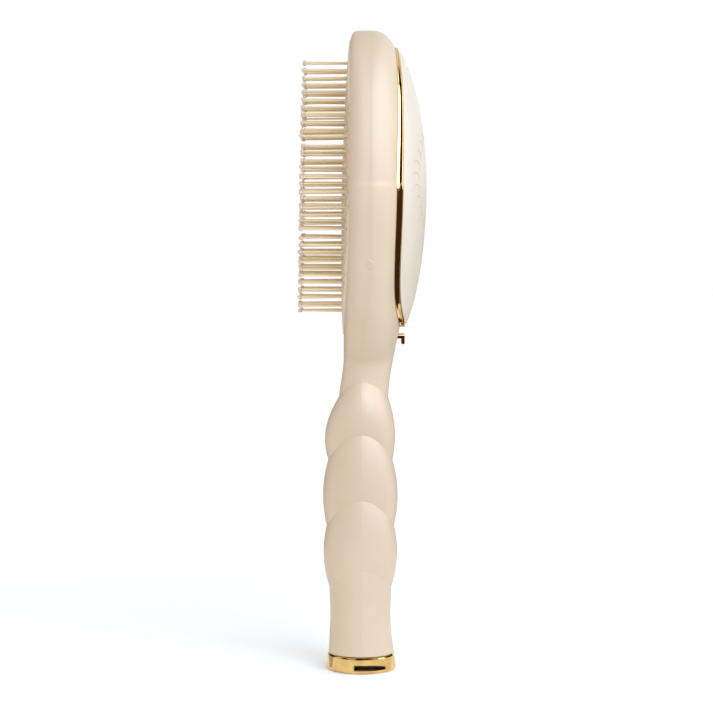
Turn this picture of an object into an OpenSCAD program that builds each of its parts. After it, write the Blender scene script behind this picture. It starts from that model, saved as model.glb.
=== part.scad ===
// Self-cleaning detangling brush, standing on its end cap.
// +Z runs up the handle, the pins point to -Y and the domed push plate faces +Y.
// The origin is the centre of the end cap's flat base.

/* [Overall] */
// Wall of the moulded shells
wall = 2; // [1.6:0.1:2.4]
// Gap left where two pieces slide or clear each other
run_gap = 0.3; // [0.2:0.05:0.35]
// Gap between pieces that are assembled and stay put
fit_gap = 0.15; // [0.1:0.05:0.2]

/* [Head] */
// Length of the neck, from its crease up to the tip of the head's oval
neck_len = 11.5; // [10:0.5:13]
// Half width of the head at its widest
head_half_w = 34; // [33.5:0.5:36]
// Length from the widest section up to the crown
head_top_len = 57; // [56.5:0.5:59]
// Length from the widest section down to the tip of the head's oval
head_low_len = 66; // [65:0.5:68]
// How far the parting line moves back from the handle axis on the head
parting_rise = 3.6; // [3.2:0.1:4]
// Distance from the handle axis back to the rear of the neck
neck_back = 10.1; // [9.8:0.1:10.6]
// Distance from the handle axis forward to the front of the neck
neck_front = 8.4; // [8:0.1:8.8]
// Half width of the neck
neck_half_w = 9.2; // [9:0.1:10.5]
// Step back of the shoulder under the push plate
shoulder_rise = 4.6; // [4.2:0.1:5]
// Further swell of the head's back above the shoulder
crown_rise = 4.4; // [4.2:0.1:5]
// How much flatter the head's front is than the neck's, at the shoulder
front_lift = 1.8; // [1.6:0.1:2]
// Further lift of the front along the head
front_rise = 0.8; // [0.6:0.1:1]

/* [Handle] */
// Length from the base up to the lowest crease
tail_len = 33.85; // [30:0.05:38]
// Length of the lower swell
swell_low_len = 24.9; // [22:0.1:28]
// Length of the middle swell
swell_mid_len = 25; // [22:0.1:28]
// Length of the upper swell
swell_high_len = 21.75; // [19:0.05:25]
// Radius in the lowest crease
crease_low_r = 11.7; // [11.2:0.1:12]
// Radius in the crease over the lower swell
crease_mid_r = 12.7; // [12.2:0.1:13]
// Radius in the crease over the middle swell
crease_high_r = 12.1; // [11.6:0.1:12.4]
// Largest radius of the lower swell
swell_low_r = 13.85; // [13.5:0.05:14.2]
// Largest radius of the middle swell
swell_mid_r = 14.05; // [13.7:0.05:14.5]
// Largest radius of the upper swell
swell_high_r = 13; // [12.8:0.05:13.5]
// How far the creases arch up on the handle's sides
crease_arch = 4.25; // [3:0.25:5]
// Radius of the slim stretch above the end cap
tail_r = 11.4; // [11.2:0.1:11.8]
// Radius of the handle where it meets the end cap
tail_end_r = 12.2; // [12:0.1:12.4]
// Lean of the swells towards the front
swell_lean = 0.35; // [0:0.05:0.5]

/* [End cap] */
// Height of the gold end cap
cap_h = 6.3; // [5.5:0.1:7]
// How far the cap's foot stands out beyond the handle
cap_flare = 1; // [0.8:0.1:1.4]
// Rounding of the cap's bottom edge
cap_edge_r = 1.2; // [0.8:0.1:1.4]
// Bevel of the cap's top edge
cap_bevel = 0.35; // [0.2:0.05:0.5]
// Thickness of the cap's floor
cap_floor = 1.6; // [1.4:0.1:2]
// Length of the plug inside the handle
plug_len = 10; // [8:0.5:14]

/* [Cushion] */
// Width of the shell's rim beside the cushion
rim_side = 4.6; // [4.4:0.1:5]
// Width of the shell's rim above the cushion
rim_top = 3.2; // [3:0.1:3.6]
// Length from the tip of the head's oval up to the cushion's opening
rim_low = 9.6; // [9:0.1:10.5]
// Lip of the cushion behind the shell's rim
lip_w = 1; // [0.8:0.1:1.1]
// Thickness of the lip
lip_t = 1.2; // [1:0.1:1.3]
// Thickness of the shell's rim in front of the lip
rim_t = 2.9; // [2.8:0.05:3]
// How far the cushion's crown stands out in front of the shell's rim
crown_out = 1.7; // [1.4:0.1:2]
// Radius of the crown across the cushion
crown_side_r = 150; // [140:5:170]
// Radius of the crown along the cushion
crown_long_r = 1130; // [1000:10:1300]
// Distance of the crown's highest line below the cushion's middle
crown_drop = 26; // [20:1:30]

/* [Pins] */
// Distance from the side of the cushion's opening to the nearest pins
field_side_gap = 4.8; // [4.4:0.1:6]
// Distance from the end of the cushion's opening to the nearest pins
field_end_gap = 7.5; // [7:0.1:9]
// Distance between rows
row_pitch = 2.8; // [2.7:0.05:2.85]
// Distance between pins in a row
pin_pitch = 4.2; // [4.1:0.05:4.6]
// Radius of a pin across its corners
pin_r = 0.4; // [0.35:0.01:0.42]
// Radius of the ball tip across its corners
ball_r = 0.75; // [0.65:0.01:0.8]
// Distance from the handle axis to the tip of the top pin
tip_top_y = 22.2; // [21:0.1:23]
// How much farther the bottom pin reaches
tip_extra = 1.7; // [0:0.1:2]
// Thickness of the pin beds
bed_t = 1.6; // [1.4:0.1:1.6]
// Gap round each pin in the cushion
pin_gap = 0.22; // [0.18:0.01:0.3]

/* [Push plate] */
// Travel of the push plate when the catch lets it go
stroke = 9.5; // [8:0.5:9.5]
// How much narrower the domed cover is than the cushion's opening, each side
cover_side_gap = 2.4; // [2.2:0.1:2.8]
// How much shorter the domed cover is than the cushion's opening, each end
cover_end_gap = 3.7; // [3.5:0.1:4.1]
// Distance from the handle axis to the top of the dome
dome_y = 24.4; // [23:0.1:26]
// Wall of the domed cover
cover_wall = 1.6; // [1.4:0.1:1.8]
// Wall of the frame's skirt
skirt_wall = 1.4; // [1.2:0.1:1.6]
// Thickness of the web that closes the frame
web_t = 1.4; // [1.2:0.1:1.6]
// Depth of the web below the cover's edge at the sides of the head
web_depth = 2.8; // [2.5:0.1:3.2]
// Thickness of the carrier's flange
flange_t = 1; // [0.9:0.1:1.1]
// Thickness of the carrier's raised middle
carrier_t = 1.6; // [1.4:0.1:2]

/* [Trim ring] */
// Width of the gold ring outside the shell's opening
ring_lip = 0.9; // [0.7:0.1:1]
// Height of the ring at the sides of the head
ring_h = 2.3; // [2:0.1:2.6]
// Depth of the ring's collar inside the opening
ring_collar = 1.5; // [1.2:0.1:1.8]

/* [Springs] */
// Radius of the plate springs, to the middle of the wire
spring_r = 2.3; // [2.25:0.05:2.4]
// Radius of the plate springs' wire
spring_wire_r = 0.3; // [0.25:0.01:0.32]
// Curls of each plate spring
spring_curls = 7; // [5:1:8]
// Radius of the posts inside the springs
post_r = 1.5; // [1.3:0.1:1.6]
// Radius of the catch spring, to the middle of the wire
catch_spring_r = 1.15; // [1:0.05:1.2]
// Radius of the catch spring's wire
catch_wire_r = 0.22; // [0.2:0.01:0.25]
// Curls of the catch spring
catch_curls = 4; // [3:1:5]

/* [Catch] */
// Travel of the release catch
catch_travel = 2; // [1.5:0.1:2]
// Distance from the domed cover down to the catch's arm
arm_gap = 3.5; // [3.2:0.1:3.8]
// Thickness of the catch's arm
arm_t = 1.5; // [1.3:0.1:1.6]
// Width of the catch's arm and tab
arm_w = 7; // [6:0.5:7.5]
// Gap between the rear shell and the tab
tab_gap = 1.33; // [1:0.01:2]
// Thickness of the tab
tab_t = 1.3; // [1.1:0.1:1.4]
// Length of the tab
tab_len = 3.6; // [3:0.1:4]
// How much wider the slider is than its arm, each side
slider_side = 1; // [0.5:0.1:1.2]
// Thickness of the slider
slider_t = 2.4; // [2.2:0.1:2.5]
// Gap between the slider and the wall behind its spring
slider_gap = 0.72; // [0.6:0.01:0.9]
// Thickness of the guide plate
guide_t = 1.6; // [1.4:0.1:1.8]

/* [Screws] */
// Radius of the screw heads
head_r = 1.5; // [1.3:0.1:1.6]
// Radius of the screw shanks
shank_r = 0.75; // [0.6:0.05:0.8]
// Thickness of the screw heads
head_t = 0.9; // [0.8:0.1:0.9]
// Radius of the bosses that take the screws
boss_r = 1.9; // [1.8:0.1:2]

/* [Hidden] */

cream = [0.93, 0.86, 0.76];
pale = [0.96, 0.92, 0.86];
gold = [0.86, 0.66, 0.35];
pin_tan = [0.80, 0.70, 0.52];
blush = [0.92, 0.84, 0.79];
steel = [0.72, 0.72, 0.74];
nylon = [0.90, 0.88, 0.84];

// How far a cut runs past the solid it cuts
overrun = 1;
// Facets of round pieces
round_n = 48;
// Points on an oval outline
oval_n = 72;
// Segments across half of a shell's section
half_n = 18;
// Curve exponents of the head, and how square its front edge is
plan_top_power = 2.3;
plan_low_power = 2.2;
back_power = 2.5;
front_power = 8;
edge_power = 5;
dome_power = 0.75;
cap_flare_power = 1.6;

// Heights of the creases and of the head
crease_low_z = tail_len;
crease_mid_z = crease_low_z + swell_low_len;
crease_high_z = crease_mid_z + swell_mid_len;
crease_neck_z = crease_high_z + swell_high_len;
head_mid_z = crease_neck_z + neck_len + head_low_len;
total_h = head_mid_z + head_top_len;
opening_half_l = (head_top_len + head_low_len - rim_top - rim_low) / 2;
oval_z = total_h - rim_top - opening_half_l;

// How far below its crease the neck's curves begin, and the lengths of those curves
neck_lead = 1;
neck_z = crease_neck_z - neck_lead;
shoulder_len = 30;
crown_start = 32;
crown_len = 46;
parting_start = 6;
parting_len = 46;
front_lift_len = 14;
front_rise_len = 50;
front_taper = 0.9;
front_taper_len = 45;
neck_blend = 6;

// Ovals of the head, all about the same centre
opening_w = head_half_w - rim_side;
lip_half_w = opening_w + lip_w;
lip_half_l = opening_half_l + lip_w;
pocket_w = opening_w - lip_w;
pocket_l = opening_half_l - lip_w;
cover_half_w = opening_w - cover_side_gap;
cover_half_l = opening_half_l - cover_end_gap;
back_hole_w = cover_half_w - fit_gap;
back_hole_l = cover_half_l - fit_gap;
ring_wall = 0.65;
ring_in_w = back_hole_w - fit_gap - ring_wall;
ring_in_l = back_hole_l - fit_gap - ring_wall;
skirt_w = ring_in_w - run_gap;
skirt_l = ring_in_l - run_gap;
carrier_w = skirt_w + 2 * ring_wall + 2 * fit_gap;
carrier_l = skirt_l + ring_wall;
retainer_w = carrier_w + run_gap;

// Places of the pins' rows
field_half_w = opening_w - field_side_gap;
half_rows = round((opening_half_l - field_end_gap) / row_pitch);
field_half_l = half_rows * row_pitch;
pin_hole_r = pin_r + pin_gap;

// Depths of the pieces behind the cushion, counted from the handle axis
rim_y = neck_front - front_lift - front_rise;
crown_y = rim_y + crown_out;
lip_front_y = rim_y - rim_t;
lip_back = -lip_front_y + lip_t;
bed_front = -lip_front_y + run_gap;
bed_back = bed_front + bed_t;
flange_back = bed_back + flange_t;
rib_w = 1.2;
rib_back = bed_back - run_gap;
rib_gap_rows = 6;
rib_z = [oval_z + rib_gap_rows * row_pitch, oval_z - rib_gap_rows * row_pitch];
pad_r = spring_r + spring_wire_r + fit_gap;
well_r = pad_r + run_gap;
post_len = 8;
cup_t = 0.8;
cup_len = 1.5;
seat_gap = 0.05;
bed_margin = 0.6;
bed_w = field_half_w + bed_margin;
bed_l = field_half_l + bed_margin;
strand_root = 0.5;
screw_bite = 5;
retainer_back = flange_back;

// Screw places on the carrier, as shares of its oval
screw_side_share = 0.5;
screw_end_share = 0.62;
screw_places = [for (sx = [-1, 1]) for (sz = [-1, 1])
    [sx * screw_side_share * carrier_w, oval_z + sz * screw_end_share * carrier_l]];

// Heights of the catch and its spring
arm_z = oval_z - cover_half_l - arm_gap - arm_t;
slider_drop = 5.3;
slider_rise = 1.2;
slider_low_z = arm_z - slider_drop;
slider_high_z = arm_z + arm_t + slider_rise;
catch_spring_len = 6;
seat_t = 1.4;
seat_w = 4.8;
seat_top_z = slider_low_z - catch_spring_len;
seat_low_z = seat_top_z - seat_t;
nose_w = 5;
nose_t = 1.6;
nose_top = oval_z - carrier_l - run_gap;

// Sizes of the handle's inside
peg_r = 1;
peg_len = 5;
peg_boss_r = 3.2;
peg_sink_share = 0.6;
plug_rim_t = 3;
cap_wall = 1.2;
cap_in_r = tail_end_r - cap_wall;
cap_r = tail_end_r + cap_flare;

// The bosses that stop the push plate, and where they stand round its opening
stop_r = 1.1;
stop_angles = [45, 135];

// Segments round a curl and round its wire, and sides of a pin
curl_steps = 8;
wire_sides = 6;
pin_sides = 4;

function smooth(t) = let (c = max(0, min(1, t))) c * c * (3 - 2 * c);
function smax(a, b, k) = (a + b + sqrt((a - b) * (a - b) + k * k)) / 2;
function round_off(u, p) = pow(max(0, 1 - pow(max(0, min(1, u)), p)), 1 / p);
function signed_pow(v, p) = sign(v) * pow(abs(v), p);

// Depth of the parting line behind the handle axis
function part_y(z) = parting_rise * smooth((z - neck_z - parting_start) / parting_len);

// How far along the crown a height lies, from 0 at the widest section to 1 at the top
function crown_u(z) = (z - head_mid_z) / head_top_len;

// Half width of the head and neck
function head_w(z) = z > head_mid_z
    ? head_half_w * round_off(crown_u(z), plan_top_power)
    : smax(head_half_w * round_off((head_mid_z - z) / head_low_len, plan_low_power),
        neck_half_w - neck_blend * neck_blend / neck_half_w / 4, neck_blend);

// Depths of the head and neck behind and in front of the parting line
function head_back(z) = (neck_back + shoulder_rise * smooth((z - neck_z) / shoulder_len)
    + crown_rise * smooth((z - neck_z - crown_start) / crown_len) - part_y(z))
    * round_off(crown_u(z), back_power);
function head_front(z) = (part_y(z) + neck_front - front_lift * smooth((z - neck_z) / front_lift_len)
    - front_rise * smooth((z - neck_z - front_lift_len) / front_rise_len)
    - front_taper * smooth((z - head_mid_z) / front_taper_len)) * round_off(crown_u(z), front_power);
function head_size(z) = [head_w(z), head_back(z), head_front(z)];

// Sizes in the creases, as half width, depth behind and depth in front
creases = [crease_low_z, crease_mid_z, crease_high_z, crease_neck_z];
swells = [swell_low_r, swell_mid_r, swell_high_r];
function leaning(r) = [r, r - swell_lean, r + swell_lean];
crease_sizes = [leaning(crease_low_r), leaning(crease_mid_r), leaning(crease_high_r),
    head_size(crease_neck_z)];
arch_shares = [0.67, 1, 1, 0.6];
arch_end_z = crease_neck_z + front_lift_len;
function arch(z) = crease_arch * lookup(z, [[cap_h, 0], [creases[0], arch_shares[0]],
    [creases[1], arch_shares[1]], [creases[2], arch_shares[2]], [creases[3], arch_shares[3]],
    [arch_end_z, 0]]);

// Sizes of one swell, from its lower crease at t = 0 to its upper crease at t = 1
function swell_size(i, t) = let (low = crease_sizes[i], high = crease_sizes[i + 1],
    middle = leaning(swells[i]) - (low + high) / 2)
    low + (high - low) * t + middle * 4 * t * (1 - t);
tail_share = 0.62;
tail_z = cap_h + (creases[0] - cap_h) * tail_share;
function tail_size(z) = let (flare = (tail_z - z) / (tail_z - cap_h), swell = smooth((z - tail_z)
    / (creases[0] - tail_z)), r = tail_r + (tail_end_r - tail_r) * pow(max(0, flare), 2)
    + (crease_low_r - tail_r) * swell, lean = swell_lean * smooth((z - cap_h) / tail_r))
    [r, r - lean, r + lean];
function size_at(z) = z >= creases[3] ? head_size(z)
    : z >= creases[2] ? swell_size(2, (z - creases[2]) / (creases[3] - creases[2]))
    : z >= creases[1] ? swell_size(1, (z - creases[1]) / (creases[2] - creases[1]))
    : z >= creases[0] ? swell_size(0, (z - creases[0]) / (creases[1] - creases[0]))
    : tail_size(z);

// Heights of the sections, closer together towards the crown
tail_rows = 4;
swell_rows = 5;
neck_rows = 12;
crown_rows = 11;
last_crown_share = 0.985;
rows = concat([for (i = [0:tail_rows - 1]) cap_h + (creases[0] - cap_h) * i / tail_rows],
    [for (b = [0:2]) for (i = [0:swell_rows - 1])
        creases[b] + (creases[b + 1] - creases[b]) * i / swell_rows],
    [for (i = [0:neck_rows - 1]) creases[3] + (head_mid_z - creases[3]) * i / neck_rows],
    [for (i = [0:crown_rows]) head_mid_z
        + head_top_len * sin(90 * last_crown_share * i / crown_rows)]);
row_n = len(rows);

// One point of a shell's skin: side is 1 at the back and -1 at the front, in is the wall or 0
thin_depth = 4 * wall;
function thinner(v, t) = v - t * min(1, v / thin_depth);
function skin_z(i, in) = let (z = rows[i]) i == row_n - 1 ? total_h - in
    : z > head_mid_z ? head_mid_z + (z - head_mid_z) * (head_top_len - in) / head_top_len : z;
function skin_point(side, i, a, in) = let (z = rows[i], s = size_at(z),
    square = side > 0 ? 2 : 2 + (edge_power - 2) * smooth((z - neck_z) / shoulder_len),
    depth = thinner(side > 0 ? s[1] : s[2], in))
    [thinner(s[0], in) * signed_pow(cos(a), 2 / square),
        part_y(z) + side * depth * signed_pow(sin(a), 2 / square),
        skin_z(i, in) + arch(z) * cos(2 * a)];

// Depth of the rear skin over a point of the head
function skin_y(x, z) = part_y(z) + head_back(z) * sqrt(max(0, 1 - pow(x / head_w(z), 2)));

// Depths and widths of the catch and its guide, in front of the rear skin
slider_w = arm_w + 2 * slider_side;
slider_y = skin_y(0, seat_low_z) - wall - slider_gap - slider_t;
catch_spring_y = slider_y + slider_t / 2;
tab_y = skin_y(0, arm_z) + tab_gap + tab_t;
guide_back = slider_y - run_gap - fit_gap / 2;
guide_front = guide_back - guide_t;
guide_low_z = slider_low_z + rib_w / 2;
guide_high_z = slider_high_z - fit_gap;
guide_screw_x = slider_w / 2 + run_gap + fit_gap + boss_r;
guide_screw_z = (slider_low_z + slider_high_z) / 2;
guide_half_w = guide_screw_x + boss_r - fit_gap;

// The trim ring's seat on the skin, its height round the opening and the cover's edge above it
ring_end_share = 0.4;
bevel_share = 0.25;
function seat_y(a) = skin_y((back_hole_w + ring_lip) * cos(a), oval_z + (back_hole_l + ring_lip) * sin(a));
function ring_top(a) = seat_y(a) + ring_h * (ring_end_share + (1 - ring_end_share) * pow(cos(a), 2));
function edge_y(a) = ring_top(a) + fit_gap;
web_y = edge_y(0) - web_depth;
web_front = web_y - web_t;

// Two triangles between the points a, b, c and d
function quad(a, b, c, d) = [[a, b, c], [a, c, d]];
function flip(faces) = [for (f = faces) [f[2], f[1], f[0]]];
function flat(lists) = [for (l = lists) each l];

// One half of the moulding, open at the handle's end and closed at the crown
module half_shell(side) {
  step = 180 / half_n;
  m = half_n + 1;
  points = concat(
      [for (i = [0:row_n - 1]) for (j = [0:half_n]) skin_point(side, i, j * step, 0)],
      [for (i = [0:row_n - 1]) for (j = [0:half_n]) skin_point(side, i, j * step, wall)]);
  outer = flat([for (i = [0:row_n - 2]) for (j = [0:half_n - 1])
      quad(i * m + j, (i + 1) * m + j, (i + 1) * m + j + 1, i * m + j + 1)]);
  k = row_n * m;
  inner = [for (f = flip(outer)) [f[0] + k, f[1] + k, f[2] + k]];
  edges = flat([for (i = [0:row_n - 2]) concat(
      quad(i * m, k + i * m, k + (i + 1) * m, (i + 1) * m),
      quad(i * m + half_n, (i + 1) * m + half_n, k + (i + 1) * m + half_n, k + i * m + half_n))]);
  foot = flat([for (j = [0:half_n - 1]) quad(j, j + 1, k + j + 1, k + j)]);
  t = k - m;
  top = [for (j = [1:half_n - 1]) [t, t + j + 1, t + j]];
  roof = [for (f = flip(top)) [f[0] + k, f[1] + k, f[2] + k]];
  bridge = quad(t, k + t, k + t + half_n, t + half_n);
  faces = concat(outer, inner, edges, foot, top, roof, bridge);
  polyhedron(points, side > 0 ? faces : flip(faces));
}

// Flat oval outline and a prism of it from one depth to another
function oval_points(w, l) = [for (i = [0:oval_n - 1])
    [w * cos(i * 360 / oval_n), l * sin(i * 360 / oval_n)]];
module oval_slab(w, l, front, back) {
  translate([0, back, oval_z]) rotate([90, 0, 0])
    linear_extrude(back - front) polygon(oval_points(w, l));
}
module oval_tube(w, l, t, front, back) {
  difference() {
    oval_slab(w, l, front, back);
    oval_slab(w - t, l - t, front - overrun, back + overrun);
  }
}

// Round bar along Y, between two depths
module bar_y(x, z, r, front, back) {
  translate([x, back, z]) rotate([90, 0, 0]) cylinder(r = r, h = back - front, $fn = round_n);
}
// Block from its low corner to its high corner
module block(low, high) {
  translate(low) cube(high - low);
}

// A closed form through oval loops, each given as [half width, half length, depth at each angle]
function loop_points(loop, n) = [for (i = [0:n - 1]) let (a = i * 360 / n)
    [loop[0] * cos(a), loop[2][i], oval_z + loop[1] * sin(a)]];
module oval_form(loops, n, closed) {
  count = len(loops);
  points = flat([for (l = loops) loop_points(l, n)]);
  sides = flat([for (k = [0:closed ? count - 1 : count - 2]) for (i = [0:n - 1])
      let (a = k * n + i, b = k * n + (i + 1) % n, up = ((k + 1) % count) * n - k * n)
      quad(a, a + up, b + up, b)]);
  first = [for (i = [1:n - 2]) [0, i, i + 1]];
  last = [for (f = flip(first)) [for (v = f) v + (count - 1) * n]];
  polyhedron(points, flip(closed ? sides : concat(sides, first, last)));
}
form_n = 48;
form_angles = [for (i = [0:form_n - 1]) i * 360 / form_n];
function level(y) = [for (a = form_angles) y];

// Places of the pins, in staggered rows between the retainer's ribs and round its posts
row_span = ceil(field_half_w / pin_pitch);
stagger_share = 0.25;
function near_post(x, z) = min([for (p = rib_z) norm([x, z - p])]) < well_r + pin_hole_r;
function row_pins(r) = let (z = oval_z + (r + 0.5) * row_pitch)
    [for (c = [-row_span:row_span])
        let (x = (c + (r % 2 == 0 ? stagger_share : -stagger_share)) * pin_pitch)
        if (pow(x / field_half_w, 2) + pow((z - oval_z) / field_half_l, 2) < 1
            && !near_post(x, z)) [x, z]];
function pins_between(low, high) = flat([for (r = [low:high - 1]) row_pins(r)]);
pins_lower = pins_between(-half_rows, -rib_gap_rows);
pins_middle = pins_between(-rib_gap_rows, rib_gap_rows);
pins_upper = pins_between(rib_gap_rows, half_rows);
all_pins = concat(pins_lower, pins_middle, pins_upper);
echo(pins = len(all_pins));

// Least gap between the curls of a coil, measured on its points
curl_turn = 360 / curl_steps;
function coil_points(r, len, wire, curls) = [for (i = [0:curls * curl_steps])
    [r * cos(i * curl_turn), r * sin(i * curl_turn),
        wire + (len - 2 * wire) * i / curls / curl_steps]];
function least_gap(p, wire) = min([for (i = [0:len(p) - 1])
    for (j = [i + curl_steps / 2 + 1:1:len(p) - 1]) norm(p[i] - p[j])]) - 2 * wire;
spring_len = web_front - rib_back - 2 * seat_gap;
echo(plate_spring_gap = least_gap(
    coil_points(spring_r, spring_len, spring_wire_r, spring_curls), spring_wire_r));
echo(catch_spring_gap = least_gap(
    coil_points(catch_spring_r, catch_spring_len, catch_wire_r, catch_curls), catch_wire_r));

// A coil spring standing on the origin along +Z: one tube of six sides
module coil(r, len, wire, curls) {
  path = coil_points(r, len, wire, curls);
  sides = wire_sides;
  points = [for (i = [0:len(path) - 1]) for (k = [0:sides - 1])
      let (a = i * curl_turn, b = k * 360 / sides)
      path[i] + wire * [cos(b) * cos(a), cos(b) * sin(a), sin(b)]];
  skin = flat([for (i = [0:len(path) - 2]) for (k = [0:sides - 1]) let (n = (k + 1) % sides)
      quad(i * sides + k, (i + 1) * sides + k, (i + 1) * sides + n, i * sides + n)]);
  last = (len(path) - 1) * sides;
  start = [for (k = [1:sides - 2]) [0, k, k + 1]];
  end = [for (k = [1:sides - 2]) [last, last + k + 1, last + k]];
  polyhedron(points, flip(concat(skin, start, end)));
}

// One pin with its ball tip, pointing to -Y, with its root inside the bed
function tip_y(z) = -tip_top_y - tip_extra * (oval_z + field_half_l - z) / (2 * field_half_l);
module strand(x, z) {
  root_y = bed_front + strand_root;
  tip = tip_y(z);
  rings = [[pin_r, root_y], [pin_r, tip + 2 * ball_r], [ball_r, tip + ball_r]];
  m = pin_sides;
  ball = (len(rings) - 1) * m;
  points = concat([for (g = rings) for (k = [0:m - 1]) let (a = k * 360 / m)
      [x + g[0] * cos(a), g[1], z + g[0] * sin(a)]], [[x, tip, z]]);
  skin = flat([for (g = [0:len(rings) - 2]) for (k = [0:m - 1]) let (n = (k + 1) % m)
      quad(g * m + k, g * m + n, g * m + n + m, g * m + k + m)]);
  end = [for (k = [0:m - 1]) [ball + k, ball + (k + 1) % m, ball + m]];
  root = [for (k = [1:m - 2]) [0, k + 1, k]];
  polyhedron(points, flip(concat(skin, end, root)));
}

// A slice of the pin bed between two heights, with its pins
module bristles(pins, low, high) {
  color(pin_tan) union() {
    difference() {
      intersection() {
        oval_slab(bed_w, bed_l, bed_front, bed_back);
        block([-bed_w - overrun, bed_front - overrun, low], [bed_w + overrun, bed_back + overrun, high]);
      }
      for (z = rib_z) bar_y(0, z, well_r, bed_front - overrun, bed_back + overrun);
    }
    for (p = pins) strand(p[0], p[1]);
  }
}
slice_gap = rib_w / 2 + run_gap;
module bristles_upper() { bristles(pins_upper, rib_z[0] + slice_gap, oval_z + bed_l + overrun); }
module bristles_middle() { bristles(pins_middle, rib_z[1] + slice_gap, rib_z[0] - slice_gap); }
module bristles_lower() { bristles(pins_lower, oval_z - bed_l - overrun, rib_z[1] - slice_gap); }

// Heights and depths of the pegs that line the two shells up
peg_places = [[(crease_low_z + crease_mid_z) / 2, swell_low_r], [(crease_high_z + crease_neck_z) / 2,
    swell_high_r]];
function peg_depth(r) = r - swell_lean - wall * peg_sink_share;

module front_shell() {
  color(cream) difference() {
    union() {
      half_shell(-1);
      for (p = peg_places) bar_y(0, p[0], peg_boss_r, -peg_depth(p[1]), -fit_gap / 2);
    }
    oval_slab(opening_w, opening_half_l, -crown_y - wall, -lip_front_y + fit_gap);
    oval_slab(lip_half_w + fit_gap, lip_half_l + fit_gap, -lip_front_y, retainer_back + fit_gap);
    for (p = peg_places) bar_y(0, p[0], peg_r + fit_gap / 2, -peg_len - run_gap, overrun);
  }
}

module rear_shell() {
  slot_low = arm_z - tab_len + arm_t - catch_travel - run_gap;
  slot_half = arm_w / 2 + run_gap;
  guide_boss_back = skin_y(guide_screw_x, guide_screw_z) - wall / 2;
  color(cream) difference() {
    union() {
      half_shell(1);
      for (p = peg_places) {
        bar_y(0, p[0], peg_boss_r, fit_gap / 2, peg_depth(p[1]));
        bar_y(0, p[0], peg_r, -peg_len, peg_boss_r);
      }
      for (sx = [-1, 1])
        bar_y(sx * guide_screw_x, guide_screw_z, boss_r, guide_back, guide_boss_back);
      for (a = stop_angles) {
        x = (back_hole_w + stop_r) * cos(a);
        z = oval_z + (back_hole_l + stop_r) * sin(a);
        bar_y(x, z, stop_r, flange_back + stroke + seat_gap, skin_y(x, z) - wall / 2);
      }
    }
    oval_slab(back_hole_w, back_hole_l, parting_rise + overrun, dome_y);
    block([-slot_half, slider_y, slot_low], [slot_half, tab_y, arm_z + arm_t + run_gap]);
    for (sx = [-1, 1])
      bar_y(sx * guide_screw_x, guide_screw_z, shank_r + seat_gap, guide_back - overrun,
          guide_back + screw_bite);
  }
}

module cushion() {
  crown_z = oval_z - crown_drop;
  body_w = opening_w - fit_gap;
  body_l = opening_half_l - fit_gap;
  color(blush) difference() {
    union() {
      intersection() {
        oval_slab(body_w, body_l, -crown_y - overrun, lip_back);
        translate([0, crown_side_r - crown_y, 0])
          cylinder(r = crown_side_r, h = total_h, $fn = 8 * oval_n);
        translate([-head_half_w, crown_long_r - crown_y, crown_z]) rotate([0, 90, 0])
          cylinder(r = crown_long_r, h = 2 * head_half_w, $fn = 16 * oval_n);
      }
      oval_slab(lip_half_w, lip_half_l, -lip_front_y, lip_back);
    }
    oval_slab(pocket_w, pocket_l, -lip_front_y, lip_back + overrun);
    for (p = all_pins)
      bar_y(p[0], p[1], pin_hole_r, -crown_y - overrun, -lip_front_y + overrun);
  }
}

module cushion_retainer() {
  rib_front = -lip_front_y + fit_gap;
  foot_w = pocket_w - fit_gap;
  foot_l = pocket_l - fit_gap;
  color(nylon) union() {
    difference() {
      union() {
        oval_slab(lip_half_w, lip_half_l, lip_back, retainer_back);
        oval_slab(foot_w, foot_l, rib_front, lip_back);
      }
      oval_slab(retainer_w, retainer_w * foot_l / foot_w, rib_front - overrun, retainer_back + overrun);
    }
    for (z = rib_z) {
      reach = retainer_w + (foot_w - retainer_w) / 2;
      half = reach * sqrt(1 - pow((z - oval_z) / foot_l, 2));
      block([-half, rib_front, z - rib_w / 2], [half, rib_back, z + rib_w / 2]);
      bar_y(0, z, pad_r, rib_front, rib_back);
      bar_y(0, z, post_r, rib_front, rib_back + post_len);
    }
  }
}

module trim_ring() {
  hole_seat = [for (a = form_angles) seat_gap
      + skin_y(back_hole_w * cos(a), oval_z + back_hole_l * sin(a)) + fit_gap / 2];
  out_seat = [for (a = form_angles) seat_y(a) + seat_gap + fit_gap / 2];
  top = [for (a = form_angles) ring_top(a)];
  low = [for (a = form_angles) seat_y(a) - ring_collar];
  bevel = ring_lip * bevel_share;
  color(gold) oval_form([
      [back_hole_w + ring_lip, back_hole_l + ring_lip, out_seat],
      [back_hole_w + ring_lip - bevel, back_hole_l + ring_lip - bevel, top - [for (t = top) bevel]],
      [back_hole_w + bevel, back_hole_l + bevel, top],
      [ring_in_w, ring_in_l, top],
      [ring_in_w, ring_in_l, low],
      [ring_in_w + ring_wall, ring_in_l + ring_wall, low],
      [ring_in_w + ring_wall, ring_in_l + ring_wall, hole_seat]], form_n, true);
}

module end_cap() {
  edge = [for (a = [0:15:90]) [cap_r - cap_edge_r + cap_edge_r * sin(a),
      cap_edge_r - cap_edge_r * cos(a)]];
  waist_z = cap_h - cap_bevel;
  flare = [for (t = [0.25:0.25:1]) [cap_r - (cap_r - tail_end_r) * (1 - pow(1 - t, cap_flare_power)),
      cap_edge_r + (waist_z - cap_edge_r) * t]];
  color(gold) rotate_extrude($fn = 2 * round_n) polygon(concat([[0, 0]], edge, flare,
      [[tail_end_r - cap_bevel, cap_h], [cap_in_r, cap_h], [cap_in_r, cap_floor], [0, cap_floor]]));
}

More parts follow.
